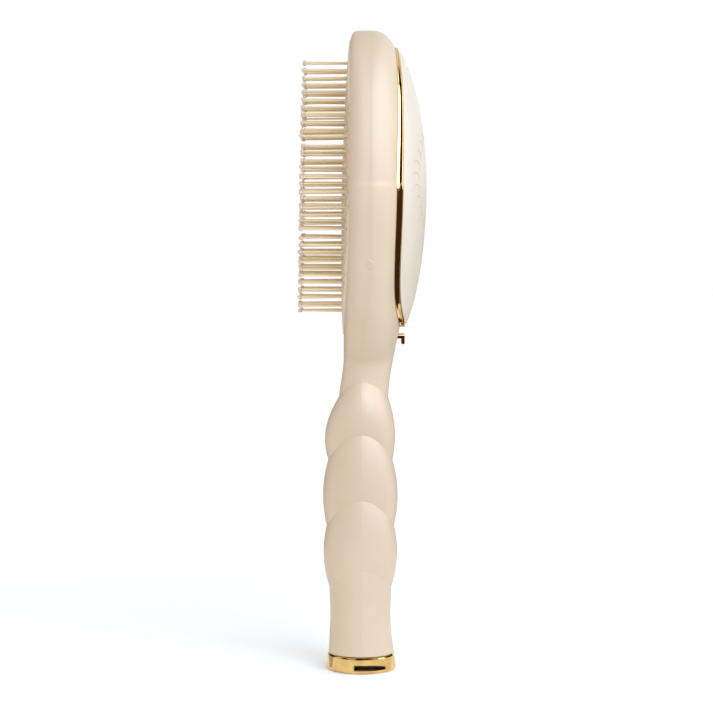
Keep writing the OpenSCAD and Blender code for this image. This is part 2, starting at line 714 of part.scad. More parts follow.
module cap_plug() {
  rim_r = cap_in_r - fit_gap;
  spigot_r = min(tail_r, tail_end_r) - wall - swell_lean - fit_gap;
  top_z = cap_h + plug_len;
  rim_z = cap_floor + plug_rim_t;
  bore_r = spigot_r - wall;
  color(nylon) rotate_extrude($fn = 2 * round_n) polygon([[0, cap_floor], [rim_r, cap_floor],
      [rim_r, rim_z], [spigot_r, rim_z], [spigot_r, top_z], [bore_r, top_z], [bore_r, rim_z],
      [0, rim_z]]);
}

module plate_spring(z) {
  color(steel) translate([0, rib_back + seat_gap, z]) rotate([-90, 0, 0])
    coil(spring_r, spring_len, spring_wire_r, spring_curls);
}
module upper_spring() { plate_spring(rib_z[0]); }
module lower_spring() { plate_spring(rib_z[1]); }
module catch_spring() {
  color(steel) translate([0, catch_spring_y, seat_top_z + seat_gap])
    coil(catch_spring_r, catch_spring_len - 2 * seat_gap, catch_wire_r, catch_curls);
}

// A screw whose shank points to +Y from under its head
module screw(x, z, head_y, len) {
  union() {
    bar_y(x, z, head_r, head_y - head_t, head_y);
    bar_y(x, z, shank_r, head_y - head_t / 2, head_y + len);
  }
}

module catch_guide() {
  color(nylon) difference() {
    union() {
      block([-guide_half_w, guide_front, guide_low_z], [guide_half_w, guide_back, guide_high_z]);
      block([-seat_w / 2, guide_front, seat_low_z], [seat_w / 2, guide_back, guide_low_z + overrun]);
      block([-seat_w / 2, guide_front, seat_low_z],
          [seat_w / 2, slider_y + slider_t, seat_top_z]);
    }
    for (sx = [-1, 1]) bar_y(sx * guide_screw_x, guide_screw_z, shank_r + fit_gap,
        guide_front - overrun, guide_back + overrun);
  }
}
module guide_screws() {
  color(steel) for (sx = [-1, 1])
    screw(sx * guide_screw_x, guide_screw_z, guide_front, guide_t + screw_bite - head_t);
}

// The dome over the push plate; rho runs from 0 at its middle to 1 at its edge
function dome_at(rho, a, t) = edge_y(a) + (dome_y - edge_y(a)) * pow(1 - rho * rho, dome_power) - t;
dome_shares = [0.12, 0.34, 0.54, 0.7, 0.82, 0.91];
module back_cover() {
  outer = [for (i = [len(dome_shares) - 1:-1:0]) let (s = dome_shares[i])
      [s * cover_half_w, s * cover_half_l, [for (a = form_angles) dome_at(s, a, 0)]]];
  inner_w = cover_half_w - cover_wall;
  inner_l = cover_half_l - cover_wall;
  inner = [for (s = dome_shares)
      [s * inner_w, s * inner_l, [for (a = form_angles) dome_at(s, a, cover_wall)]]];
  edge = [for (a = form_angles) edge_y(a)];
  brim = [for (a = form_angles) edge_y(a) + cover_wall * bevel_share];
  color(pale) oval_form(concat(inner, [
      [skirt_w - skirt_wall, skirt_l - skirt_wall, level(web_y)],
      [skirt_w, skirt_l, level(web_y)],
      [skirt_w, skirt_l, edge],
      [cover_half_w, cover_half_l, edge],
      [cover_half_w, cover_half_l, brim]], outer), form_n, false);
}

module plate_frame() {
  carrier_back = flange_back + carrier_t;
  notch = nose_w / 2 + run_gap;
  color(nylon) difference() {
    union() {
      oval_tube(skirt_w, skirt_l, skirt_wall, flange_back, web_y);
      oval_slab(skirt_w - skirt_wall / 2, skirt_l - skirt_wall / 2, web_front, web_y);
      for (z = rib_z) bar_y(0, z, well_r + cup_t, web_front - cup_len, web_y);
      for (p = screw_places) bar_y(p[0], p[1], boss_r, carrier_back, web_y);
    }
    for (z = rib_z) bar_y(0, z, well_r, web_front - cup_len - overrun, web_front);
    for (p = screw_places)
      bar_y(p[0], p[1], shank_r + seat_gap, carrier_back - overrun, carrier_back + screw_bite);
    block([-notch, slider_y - run_gap, oval_z - skirt_l - overrun],
        [notch, slider_y + nose_t + run_gap, oval_z - skirt_l + skirt_wall + overrun]);
  }
}

module pin_carrier() {
  inner_w = skirt_w - skirt_wall - fit_gap;
  inner_l = skirt_l - skirt_wall - fit_gap;
  color(nylon) difference() {
    union() {
      oval_slab(carrier_w, carrier_l, bed_back, flange_back);
      oval_slab(inner_w, inner_l, flange_back, flange_back + carrier_t);
    }
    for (z = rib_z) bar_y(0, z, well_r, bed_back - overrun, flange_back + carrier_t + overrun);
    for (p = screw_places) {
      bar_y(p[0], p[1], shank_r + fit_gap, bed_back - overrun, flange_back + carrier_t + overrun);
      bar_y(p[0], p[1], head_r + fit_gap, bed_back - overrun, bed_back + head_t);
    }
  }
}
module carrier_screws() {
  grip = flange_t + carrier_t - head_t;
  color(steel) for (p = screw_places)
    screw(p[0], p[1], bed_back + head_t, grip + screw_bite - run_gap);
}

module release_catch() {
  half = arm_w / 2;
  slider_back = slider_y + slider_t;
  color(gold) union() {
    block([-slider_w / 2, slider_y, slider_low_z], [slider_w / 2, slider_back, slider_high_z]);
    block([-nose_w / 2, slider_y, slider_low_z], [nose_w / 2, slider_y + nose_t, nose_top]);
    block([-half, slider_y, arm_z], [half, tab_y, arm_z + arm_t]);
    block([-half, tab_y - tab_t, arm_z + arm_t - tab_len], [half, tab_y, arm_z + arm_t]);
  }
}

front_shell();
rear_shell();
cushion();
cushion_retainer();
trim_ring();
end_cap();
cap_plug();
upper_spring();
lower_spring();
catch_spring();
catch_guide();
guide_screws();
back_cover();
plate_frame();
pin_carrier();
bristles_upper();
bristles_middle();
bristles_lower();
carrier_screws();
release_catch();
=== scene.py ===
"""Dressed model of an upright detangling brush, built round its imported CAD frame.

Sizes are in millimetres, as on the drawing, and turn into metres when a mesh is written. X runs across
the head, +Y towards the domed push plate, -Y along the pins and +Z up the handle to the crown.
"""
import logging
import math
import random
from collections.abc import Callable, Iterable
from dataclasses import dataclass, field
from enum import Enum

import bmesh
import bpy
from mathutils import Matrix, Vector
from mathutils.geometry import delaunay_2d_cdt


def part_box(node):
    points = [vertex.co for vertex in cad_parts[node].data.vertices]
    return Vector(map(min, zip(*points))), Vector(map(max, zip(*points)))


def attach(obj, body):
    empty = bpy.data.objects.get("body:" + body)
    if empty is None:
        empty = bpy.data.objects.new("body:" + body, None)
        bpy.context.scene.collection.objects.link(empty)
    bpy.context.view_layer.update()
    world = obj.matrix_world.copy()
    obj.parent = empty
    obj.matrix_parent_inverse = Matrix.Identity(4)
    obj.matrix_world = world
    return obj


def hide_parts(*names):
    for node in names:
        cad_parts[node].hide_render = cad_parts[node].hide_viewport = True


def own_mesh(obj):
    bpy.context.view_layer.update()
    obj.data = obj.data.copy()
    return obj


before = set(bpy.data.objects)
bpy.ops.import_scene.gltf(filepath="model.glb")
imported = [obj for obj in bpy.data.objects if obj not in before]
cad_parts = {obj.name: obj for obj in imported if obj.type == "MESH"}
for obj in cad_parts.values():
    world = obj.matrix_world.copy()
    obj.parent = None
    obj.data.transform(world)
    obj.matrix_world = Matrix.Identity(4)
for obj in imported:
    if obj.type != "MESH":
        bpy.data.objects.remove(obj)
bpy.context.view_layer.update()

MM = 0.001
TINY = 1e-6
NOISE_MIDDLE = (0.3, 0.7)
ROUNDED_FROM = math.radians(30)

Point = tuple[float, float, float]
Plan = tuple[float, float]
Colour = tuple[float, float, float]
Span = tuple[float, float]

log = logging.getLogger("brush")


class Body(Enum):
    """The bodies of the frame that pieces ride on."""

    HANDLE = "body"
    PLATE = "push_plate"
    CATCH = "catch"


class Slot(Enum):
    """The record's material slots, one named with each of the scene's pieces."""

    SHELL = "cream_shell"
    COVER = "cream_cover"
    PAD = "soft_pad"
    PIN = "pin_nylon"
    GOLD = "gold_plating"
    SPRING = "spring_steel"


class Half(Enum):
    """The two halves of the moulded body, as the side of the parting line that each lies on."""

    FRONT = -1
    REAR = 1


# Small sums


def clamp(value: float, low: float = 0.0, high: float = 1.0) -> float:
    """Keep a value between two limits."""
    return max(low, min(high, value))


def smooth(share: float) -> float:
    """Ease a share from 0 to 1 with level ends."""
    t = clamp(share)
    return t * t * (3 - 2 * t)


def soft_max(a: float, b: float, blend: float) -> float:
    """Take the larger of two values with a rounded change from one to the other."""
    return (a + b + math.hypot(a - b, blend)) / 2


def round_off(share: float, power: float) -> float:
    """Fall from 1 to 0 along a superellipse."""
    return max(0.0, 1 - clamp(share) ** power) ** (1 / power)


def full_turn(count: int) -> list[float]:
    """Even angles round a circle, in radians."""
    return [2 * math.pi * k / count for k in range(count)]


def quarter_turn(steps: int) -> list[float]:
    """Even angles from nothing to a right angle, both among them, in radians."""
    return [math.pi / 2 * k / steps for k in range(steps + 1)]


def ladder(value: float, steps: list[tuple[float, float]]) -> float:
    """Read a value off a line of straight runs.

    Args:
        value: Where to read.
        steps: Pairs of place and height, in rising places.

    Returns:
        The height there, level beyond both ends.
    """
    if value <= steps[0][0]:
        return steps[0][1]
    for (low, a), (high, b) in zip(steps, steps[1:]):
        if value <= high:
            return a + (b - a) * (value - low) / (high - low)
    return steps[-1][1]


@dataclass(frozen=True)
class Ease:
    """A soft step: how much it comes to, where it starts and how long it takes."""

    gain: float
    start: float
    length: float

    def at(self, place: float) -> float:
        """How much of the step is there at a place."""
        return self.gain * smooth((place - self.start) / self.length)


# Meshes


@dataclass
class Skin:
    """A mesh under construction in millimetres, in which points at one place are one point."""

    points: list[Point] = field(default_factory=list)
    faces: list[tuple[int, ...]] = field(default_factory=list)
    tints: list[int] = field(default_factory=list)
    places: dict[tuple[int, int, int], int] = field(default_factory=dict)
    grid: float = 0.0004

    def point(self, place: Point) -> int:
        """Find or add a point.

        Args:
            place: Where it lies.

        Returns:
            Its number.
        """
        key = tuple(round(value / self.grid) for value in place)
        if key not in self.places:
            self.places[key] = len(self.points)
            self.points.append(place)
        return self.places[key]

    def face(self, corners: Iterable[int], tint: int = 0) -> None:
        """Add a face, unless its corners fall together.

        Args:
            corners: Numbers of its points, in order.
            tint: Which of the piece's finishes it takes.
        """
        corners = list(corners)
        ring = [c for i, c in enumerate(corners) if c != corners[i - 1]]
        if len(ring) > 2 and len(set(ring)) == len(ring):
            self.faces.append(tuple(ring))
            self.tints.append(tint)

    def strip(self, first: list[int], second: list[int], closed: bool = False, tint: int = 0) -> None:
        """Join two lines of as many points with quads.

        Args:
            first: Numbers of the first line's points.
            second: Numbers of the second line's points.
            closed: Whether the lines are rings.
            tint: Which of the piece's finishes the quads take.
        """
        count = len(first)
        for i in range(count if closed else count - 1):
            j = (i + 1) % count
            self.face((first[i], first[j], second[j], second[i]), tint)

    def net(self, rows: list[list[Point]], closed: bool = False, looped: bool = False, tint: int = 0) -> None:
        """Join rows of points, each to the next.

        Args:
            rows: Rows of as many points each.
            closed: Whether each row is a ring.
            looped: Whether the last row joins the first.
            tint: Which of the piece's finishes the faces take.
        """
        numbers = [[self.point(p) for p in row] for row in rows]
        for first, second in zip(numbers, numbers[1:] + numbers[:1] if looped else numbers[1:]):
            self.strip(first, second, closed, tint)

    def cap(self, ring: list[Point], tint: int = 0) -> None:
        """Close a ring of points with one flat face.

        Args:
            ring: The ring's points, in order.
            tint: Which of the piece's finishes the face takes.
        """
        self.face([self.point(p) for p in ring], tint)

    def tube(self, path: list[Point], radii: list[float], sides: int, spin: float) -> None:
        """Sweep a closed round bar along a path and cap its ends.

        Args:
            path: The bar's axis.
            radii: Its radius at each point of the path.
            sides: Number of its sides.
            spin: Where its first side lies, in radians.
        """
        axis = (Vector(path[-1]) - Vector(path[0])).normalized()
        across = axis.orthogonal().normalized()
        up = axis.cross(across)
        rings = []
        for place, radius in zip(path, radii):
            rings.append([tuple(Vector(place) + radius * (math.cos(spin + a) * across + math.sin(spin + a) * up))
                          for a in full_turn(sides)])
        self.net(rings, closed=True)
        self.cap(rings[0])
        self.cap(rings[-1])

    def mesh(self, name: str, sharp: float, bevel: float = 0.0) -> bpy.types.Mesh:
        """Write the mesh in metres, with its faces turned outwards.

        Args:
            name: Name of the mesh.
            sharp: Angle from which an edge is sharp, in degrees.
            bevel: Radius of its rounded edges, or 0 to leave them.

        Returns:
            The mesh.
        """
        made = bpy.data.meshes.new(name)
        made.from_pydata([[value * MM for value in p] for p in self.points], [], self.faces)
        made.polygons.foreach_set("material_index", self.tints)
        work = bmesh.new()
        work.from_mesh(made)
        bmesh.ops.recalc_face_normals(work, faces=work.faces)
        if bevel:
            edges = [e for e in work.edges if e.calc_face_angle(0) > ROUNDED_FROM]
            bmesh.ops.bevel(work, geom=edges, offset=bevel * MM, segments=4, profile=0.5, affect="EDGES",
                            clamp_overlap=True)
        work.to_mesh(made)
        work.free()
        made.shade_smooth()
        made.set_sharp_from_angle(angle=math.radians(sharp))
        return made


@dataclass
class PlanNet:
    """A flat net of triangles in X and Z between rings, with the insides of some rings left open."""

    plan: list[Plan] = field(default_factory=list)
    edges: list[tuple[int, int]] = field(default_factory=list)
    open_rings: list[list[int]] = field(default_factory=list)
    triangles: list[tuple[int, int, int]] = field(default_factory=list)

    def ring(self, points: list[Plan], is_open: bool = False) -> list[int]:
        """Add a closed ring that the net follows.

        Args:
            points: The ring's points, in order.
            is_open: Whether the net leaves its inside open.

        Returns:
            Numbers of its points.
        """
        first = len(self.plan)
        numbers = list(range(first, first + len(points)))
        self.plan += points
        self.edges += list(zip(numbers, numbers[1:] + numbers[:1]))
        if is_open:
            self.open_rings.append(numbers)
        return numbers

    def circle(self, centre: Plan, radius: float, sides: int, is_open: bool = False) -> list[int]:
        """Add a round ring.

        Args:
            centre: Its centre.
            radius: Its radius.
            sides: Number of its points.
            is_open: Whether the net leaves its inside open.

        Returns:
            Numbers of its points.
        """
        return self.ring([(centre[0] + radius * math.cos(a), centre[1] + radius * math.sin(a))
                          for a in full_turn(sides)], is_open)

    def solve(self, outline: list[int]) -> None:
        """Work out the triangles.

        Args:
            outline: Numbers of the outer ring's points.
        """
        found = delaunay_2d_cdt([Vector(p) for p in self.plan], self.edges, [outline], 1, TINY)
        places, _, faces, origins = found[:4]
        assert len(places) == len(self.plan), "rings of the net touch"
        number = [origin[0] for origin in origins]
        owner = {p: i for i, ring in enumerate(self.open_rings) for p in ring}
        for face in faces:
            corners = tuple(number[i] for i in face)
            owners = {owner.get(c) for c in corners}
            if len(owners) > 1 or None in owners:
                self.triangles.append(corners)


def oval(half_w: float, half_l: float, count: int, centre_z: float) -> list[Plan]:
    """Points of an upright oval in plan.

    Args:
        half_w: Half its width.
        half_l: Half its length.
        count: Number of points.
        centre_z: Height of its middle.

    Returns:
        The points, from +X round through +Z.
    """
    return [(half_w * math.cos(a), centre_z + half_l * math.sin(a)) for a in full_turn(count)]


def finish_piece(name: str, mesh: bpy.types.Mesh, finishes: list[bpy.types.Material], body: Body,
                 slot: Slot, *nodes: str) -> bpy.types.Object:
    """Put a mesh into the scene as a piece of the brush.

    Args:
        name: Name of the piece.
        mesh: Its mesh.
        finishes: Its finishes, in the order of its faces' tints.
        body: The body that it rides on.
        slot: The record's slot for its finish; not used.
        *nodes: The CAD nodes that it stands for.

    Returns:
        The piece.
    """
    piece = bpy.data.objects.new(name, mesh)
    bpy.context.scene.collection.objects.link(piece)
    for material in finishes:
        mesh.materials.append(material)
    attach(piece, body.value)
    if nodes:
        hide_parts(*nodes)
    log.info("%s: %d faces, rides on %s, replaces %s", name, len(mesh.polygons), body.value,
             ", ".join(nodes) or "nothing")
    return piece


# Finishes


def set_ramp(ramp: bpy.types.Node, source: Span, target: Span) -> None:
    """Make a range node carry one range over to another."""
    for name, number in zip(("From Min", "From Max", "To Min", "To Max"), (*source, *target)):
        ramp.inputs[name].default_value = number


@dataclass
class Wiring:
    """Nodes of one material, made and linked in a few words."""

    material: bpy.types.Material

    @classmethod
    def start(cls, name: str) -> "Wiring":
        """Start a material with a bare principled shader."""
        material = bpy.data.materials.new(name)
        material.use_nodes = True
        return cls(material)

    @property
    def shader(self) -> bpy.types.Node:
        """The principled shader."""
        return self.material.node_tree.nodes["Principled BSDF"]

    def node(self, kind: str, **values: object) -> bpy.types.Node:
        """Add a node.

        Args:
            kind: Its type.
            **values: Its properties.

        Returns:
            The node.
        """
        made = self.material.node_tree.nodes.new(kind)
        for name, value in values.items():
            setattr(made, name, value)
        return made

    def link(self, start: bpy.types.NodeSocket, end: bpy.types.NodeSocket) -> None:
        """Link an output to an input."""
        self.material.node_tree.links.new(start, end)

    def noise(self, size: float, detail: float = 2.0, stretch: Point = (1, 1, 1)) -> bpy.types.NodeSocket:
        """Add noise of a real size over the piece's own coordinates.

        Args:
            size: Width of one patch, in millimetres.
            detail: Number of finer layers.
            stretch: How many times longer a patch is along each axis.

        Returns:
            The noise's value.
        """
        place = self.node("ShaderNodeTexCoord")
        scale = self.node("ShaderNodeMapping")
        scale.inputs["Scale"].default_value = [1 / s for s in stretch]
        grain = self.node("ShaderNodeTexNoise")
        grain.inputs["Scale"].default_value = 1 / (size * MM)
        grain.inputs["Detail"].default_value = detail
        self.link(place.outputs["Object"], scale.inputs["Vector"])
        self.link(scale.outputs["Vector"], grain.inputs["Vector"])
        return grain.outputs["Fac"]

    def spread(self, value: bpy.types.NodeSocket, low: float, high: float) -> bpy.types.NodeSocket:
        """Spread a noise's middle range between two values."""
        ramp = self.node("ShaderNodeMapRange")
        set_ramp(ramp, NOISE_MIDDLE, (low, high))
        self.link(value, ramp.inputs["Value"])
        return ramp.outputs["Result"]

    def tones(self, value: bpy.types.NodeSocket, low: Colour, high: Colour) -> bpy.types.NodeSocket:
        """Blend two tones by a value."""
        blend = self.node("ShaderNodeMix", data_type="RGBA")
        colour_a, colour_b = (s for s in blend.inputs if s.type == "RGBA")
        colour_a.default_value, colour_b.default_value = (*low, 1), (*high, 1)
        self.link(self.spread(value, 0, 1), blend.inputs["Factor"])
        return next(s for s in blend.outputs if s.type == "RGBA")

    def bump(self, value: bpy.types.NodeSocket, depth: float) -> bpy.types.NodeSocket:
        """Turn a value into relief of a real depth in millimetres."""
        relief = self.node("ShaderNodeBump")
        relief.inputs["Strength"].default_value = 1
        relief.inputs["Distance"].default_value = depth * MM
        self.link(value, relief.inputs["Height"])
        return relief.outputs["Normal"]


@dataclass(frozen=True)
class Moulding:
    """A moulded plastic or soft rubber with a fine grain and slight patches of tone and gloss."""

    name: str
    tone: Colour
    second_tone: Colour
    roughness: Span = (0.42, 0.5)
    patch: float = 18.0
    grain: float = 0.22
    grain_depth: float = 0.006
    glow: float = 0.0
    glow_reach: float = 1.5
    glow_tint: Colour = (1.0, 0.7, 0.5)
    shine: float = 0.5

    def material(self) -> bpy.types.Material:
        """Build the finish.

        Returns:
            The material.
        """
        wiring = Wiring.start(self.name)
        shader = wiring.shader
        tones = wiring.tones(wiring.noise(self.patch, 3), self.tone, self.second_tone)
        wiring.link(tones, shader.inputs["Base Color"])
        wiring.link(wiring.spread(wiring.noise(self.patch / 3, 3), *self.roughness), shader.inputs["Roughness"])
        wiring.link(wiring.bump(wiring.noise(self.grain, 1), self.grain_depth), shader.inputs["Normal"])
        shader.inputs["Specular IOR Level"].default_value = self.shine
        shader.inputs["Subsurface Weight"].default_value = self.glow
        shader.inputs["Subsurface Radius"].default_value = self.glow_tint
        shader.inputs["Subsurface Scale"].default_value = self.glow_reach * MM
        return wiring.material


@dataclass(frozen=True)
class Metal:
    """A polished, plated or drawn metal with fine grain and a little unevenness in its polish."""

    name: str
    tone: Colour
    second_tone: Colour
    roughness: Span
    patch: float = 9.0
    grain: float = 0.35
    grain_depth: float = 0.0015
    stretch: Point = (1, 1, 1)

    def material(self) -> bpy.types.Material:
        """Build the finish.

        Returns:
            The material.
        """
        wiring = Wiring.start(self.name)
        shader = wiring.shader
        tones = wiring.tones(wiring.noise(self.patch, 2), self.tone, self.second_tone)
        wiring.link(tones, shader.inputs["Base Color"])
        grain = wiring.noise(self.grain, 3, self.stretch)
        wiring.link(wiring.spread(grain, *self.roughness), shader.inputs["Roughness"])
        wiring.link(wiring.bump(grain, self.grain_depth), shader.inputs["Normal"])
        shader.inputs["Metallic"].default_value = 1
        return wiring.material


@dataclass(frozen=True)
class Finishes:
    """Every finish on the brush."""

    shell: Moulding = Moulding("satin cream shell", (0.64, 0.495, 0.35), (0.66, 0.52, 0.373),
                               glow=0.1, glow_reach=1.0)
    cover: Moulding = Moulding("satin pale cover", (0.69, 0.592, 0.478), (0.705, 0.609, 0.497),
                               glow=0.1, glow_reach=1.0)
    # Finish of the dimples' rims: a darker, warmer tone that paints shade into the hollows, not a colour of the cover
    # itself.
    dimple_shade: Moulding = Moulding("painted dimple shade", (0.56, 0.43, 0.26), (0.58, 0.45, 0.28), glow=0.1, glow_reach=1.0)
    pad: Moulding = Moulding("blush pad rubber", (0.76, 0.62, 0.50), (0.79, 0.655, 0.535), (0.5, 0.6),
                             glow=0.45, glow_reach=2.5, glow_tint=(1.0, 0.55, 0.45))
    pin: Moulding = Moulding("tan pin nylon", (0.75, 0.61, 0.39), (0.79, 0.65, 0.43), (0.38, 0.48),
                             patch=4, grain=0.3, grain_depth=0.002, glow=0.4, glow_reach=0.9, shine=0.3)
    ball: Moulding = Moulding("blush ball nylon", (0.67, 0.52, 0.41), (0.71, 0.56, 0.45), (0.32, 0.42),
                              patch=4, grain=0.3, grain_depth=0.002, glow=0.2, glow_reach=0.6, shine=0.3)
    inner: Moulding = Moulding("plain inner nylon", (0.72, 0.69, 0.62), (0.75, 0.72, 0.66), (0.5, 0.6),
                               grain=0.4, grain_depth=0.01)
    gold: Metal = Metal("polished gold plate", (0.83, 0.56, 0.235), (0.87, 0.60, 0.27), (0.05, 0.09))
    cap_gold: Metal = Metal("polished gold cap", (0.66, 0.41, 0.13), (0.86, 0.58, 0.24), (0.06, 0.1),
                            patch=5, grain=0.25, grain_depth=0.001, stretch=(1, 1, 4))
    spring: Metal = Metal("drawn spring wire", (0.50, 0.50, 0.52), (0.60, 0.60, 0.62), (0.22, 0.34),
                          grain=0.2)
    screw: Metal = Metal("plain screw steel", (0.42, 0.42, 0.44), (0.50, 0.50, 0.52), (0.3, 0.45),
                         grain=0.2)


# The outer form


@dataclass(frozen=True)
class Form:
    """The brush's outer form: swelling handle, neck and oval head.

    The part's source has the same form with simpler arches, tail end and ring.
    """

    cap_h: float = 6.3
    creases: tuple[float, ...] = (33.85, 58.75, 83.75, 105.5)
    crease_radii: tuple[float, ...] = (11.7, 12.7, 12.1)
    swell_radii: tuple[float, ...] = (13.85, 14.05, 13.0)
    lean: float = 0.35
    arch_sides: tuple[float, ...] = (2.12, 2.18, 1.77, 1.27)
    arch_drops: tuple[float, ...] = (2.85, 4.25, 4.25, 2.55)
    arch_fade: float = 15.4
    arch_ease: float = 0.25
    tail_r: float = 11.4
    tail_end_r: float = 12.4
    tail_share: float = 0.62
    neck_z: float = 104.5
    neck_half_w: float = 9.2
    neck_blend: float = 6.0
    neck_back: float = 10.1
    back_swells: tuple[Ease, ...] = (Ease(4.6, 0, 30), Ease(4.4, 32, 46))
    neck_front: float = 8.4
    front_dips: tuple[Ease, ...] = (Ease(1.8, 0, 14), Ease(0.8, 14, 50))
    crown_dip: Ease = Ease(0.9, 0, 45)
    middle_z: float = 183.0
    top_z: float = 240.0
    half_w: float = 34.0
    low_len: float = 66.0
    low_ease: float = 2.5
    crown_power: float = 2.3
    low_power: float = 2.2
    back_power: float = 2.5
    front_power: float = 8.0
    parting_rise: Ease = Ease(3.6, 6, 46)
    edge_power: float = 5.0
    edge_ease: float = 30.0
    oval_z: float = 181.7
    hole_w: float = 26.85
    hole_l: float = 51.25
    ring_lip: float = 0.9
    ring_h: float = 2.3
    ring_top_share: float = 0.4
    ring_low_share: float = 0.8

    @property
    def top_len(self) -> float:
        """Height of the crown above the widest section."""
        return self.top_z - self.middle_z

    def parting_y(self, z: float) -> float:
        """How far behind the handle axis the parting line lies at a height."""
        return self.parting_rise.at(z - self.neck_z)

    def head(self, z: float) -> tuple[float, float, float]:
        """Size the neck and head.

        Args:
            z: Height of the section.

        Returns:
            Half its width, and its depths behind and in front of the parting line.
        """
        u = (z - self.middle_z) / self.top_len
        rise = z - self.neck_z
        parting = self.parting_y(z)
        if u > 0:
            width = self.half_w * round_off(u, self.crown_power)
        else:
            above = soft_max(z - self.middle_z + self.low_len, 0, self.low_ease)
            width = soft_max(self.half_w * round_off(1 - above / self.low_len, self.low_power),
                             self.neck_half_w - self.neck_blend ** 2 / self.neck_half_w / 4, self.neck_blend)
        back, front = self.neck_back, parting + self.neck_front
        for swell in self.back_swells:
            back += swell.at(rise)
        for dip in self.front_dips:
            front -= dip.at(rise)
        back -= parting
        front -= self.crown_dip.at(z - self.middle_z)
        return width, back * round_off(u, self.back_power), front * round_off(u, self.front_power)

    def leaning(self, radius: float, lean: float) -> tuple[float, float, float]:
        """Size of a section that sits a little forward of the axis."""
        return radius, radius - lean, radius + lean

    def size(self, z: float) -> tuple[float, float, float]:
        """Size any section of the body.

        Args:
            z: Height of the section.

        Returns:
            Half its width, and its depths behind and in front of the parting line.
        """
        creases = self.creases
        if z >= creases[3]:
            return self.head(z)
        if z < creases[0]:
            tail_z = self.cap_h + (creases[0] - self.cap_h) * self.tail_share
            flare = max(0.0, (tail_z - z) / (tail_z - self.cap_h))
            radius = (self.tail_r + (self.tail_end_r - self.tail_r) * flare ** 2
                      + (self.crease_radii[0] - self.tail_r) * smooth((z - tail_z) / (creases[0] - tail_z)))
            return self.leaning(radius, self.lean * smooth((z - self.cap_h) / self.tail_r))
        i = max(k for k in range(3) if z >= creases[k])
        t = (z - creases[i]) / (creases[i + 1] - creases[i])
        sizes = [self.leaning(r, self.lean) for r in self.crease_radii] + [self.head(creases[3])]
        swell = self.leaning(self.swell_radii[i], self.lean)
        return tuple(a + (b - a) * t + (s - (a + b) / 2) * 4 * t * (1 - t)
                     for a, b, s in zip(sizes[i], sizes[i + 1], swell))

    def arch(self, z: float, share: float) -> float:
        """How far the creases' arches lift a level's point.

        Args:
            z: Height of the level.
            share: 1 at the brush's sides, 0 at its back and front.

        Returns:
            The lift, negative where it is a drop.
        """
        fade = 1 - smooth((z - self.creases[3]) / self.arch_fade)
        side, drop = (ladder(z, [(self.cap_h, 0.0), *zip(self.creases, sizes)])
                      for sizes in (self.arch_sides, self.arch_drops))
        bend = (math.hypot(share, self.arch_ease) - self.arch_ease) / (math.hypot(1, self.arch_ease) - self.arch_ease)
        return (drop * (2 * share * share - 1) + side * bend) * fade

    def square(self, half: Half, z: float) -> float:
        """The superellipse power of a half section: round behind, squarer in front of the head."""
        if half is Half.REAR:
            return 2.0
        return 2 + (self.edge_power - 2) * smooth((z - self.neck_z) / self.edge_ease)

    def back_y(self, x: float, z: float) -> float:
        """Depth of the rear skin over a point of the head."""
        width, back, _ = self.size(z)
        return self.parting_y(z) + back * math.sqrt(max(0.0, 1 - (x / width) ** 2))

    def front_y(self, x: float, z: float) -> float:
        """Depth of the front skin over a point of the head."""
        width, _, front = self.size(z)
        return self.parting_y(z) - front * round_off(abs(x) / width, self.square(Half.FRONT, z))

    def seat_y(self, a: float) -> float:
        """Depth of the trim ring's outer seat at an angle round the oval."""
        return self.back_y((self.hole_w + self.ring_lip) * math.cos(a),
                           self.oval_z + (self.hole_l + self.ring_lip) * math.sin(a))

    def ring_top(self, a: float) -> float:
        """Depth of the trim ring's top at an angle round the oval."""
        end = self.ring_top_share if math.sin(a) > 0 else self.ring_low_share
        share = end + (1 - end) * math.cos(a) ** 2
        return self.seat_y(a) + self.ring_h * share


# The moulded body


@dataclass(frozen=True)
class Row:
    """One level of a shell half: its height, and half the width of the opening there."""

    outer_z: float
    outer_open: float
    inner_z: float
    inner_open: float
    angle: float | None = None
    opening: int = -1


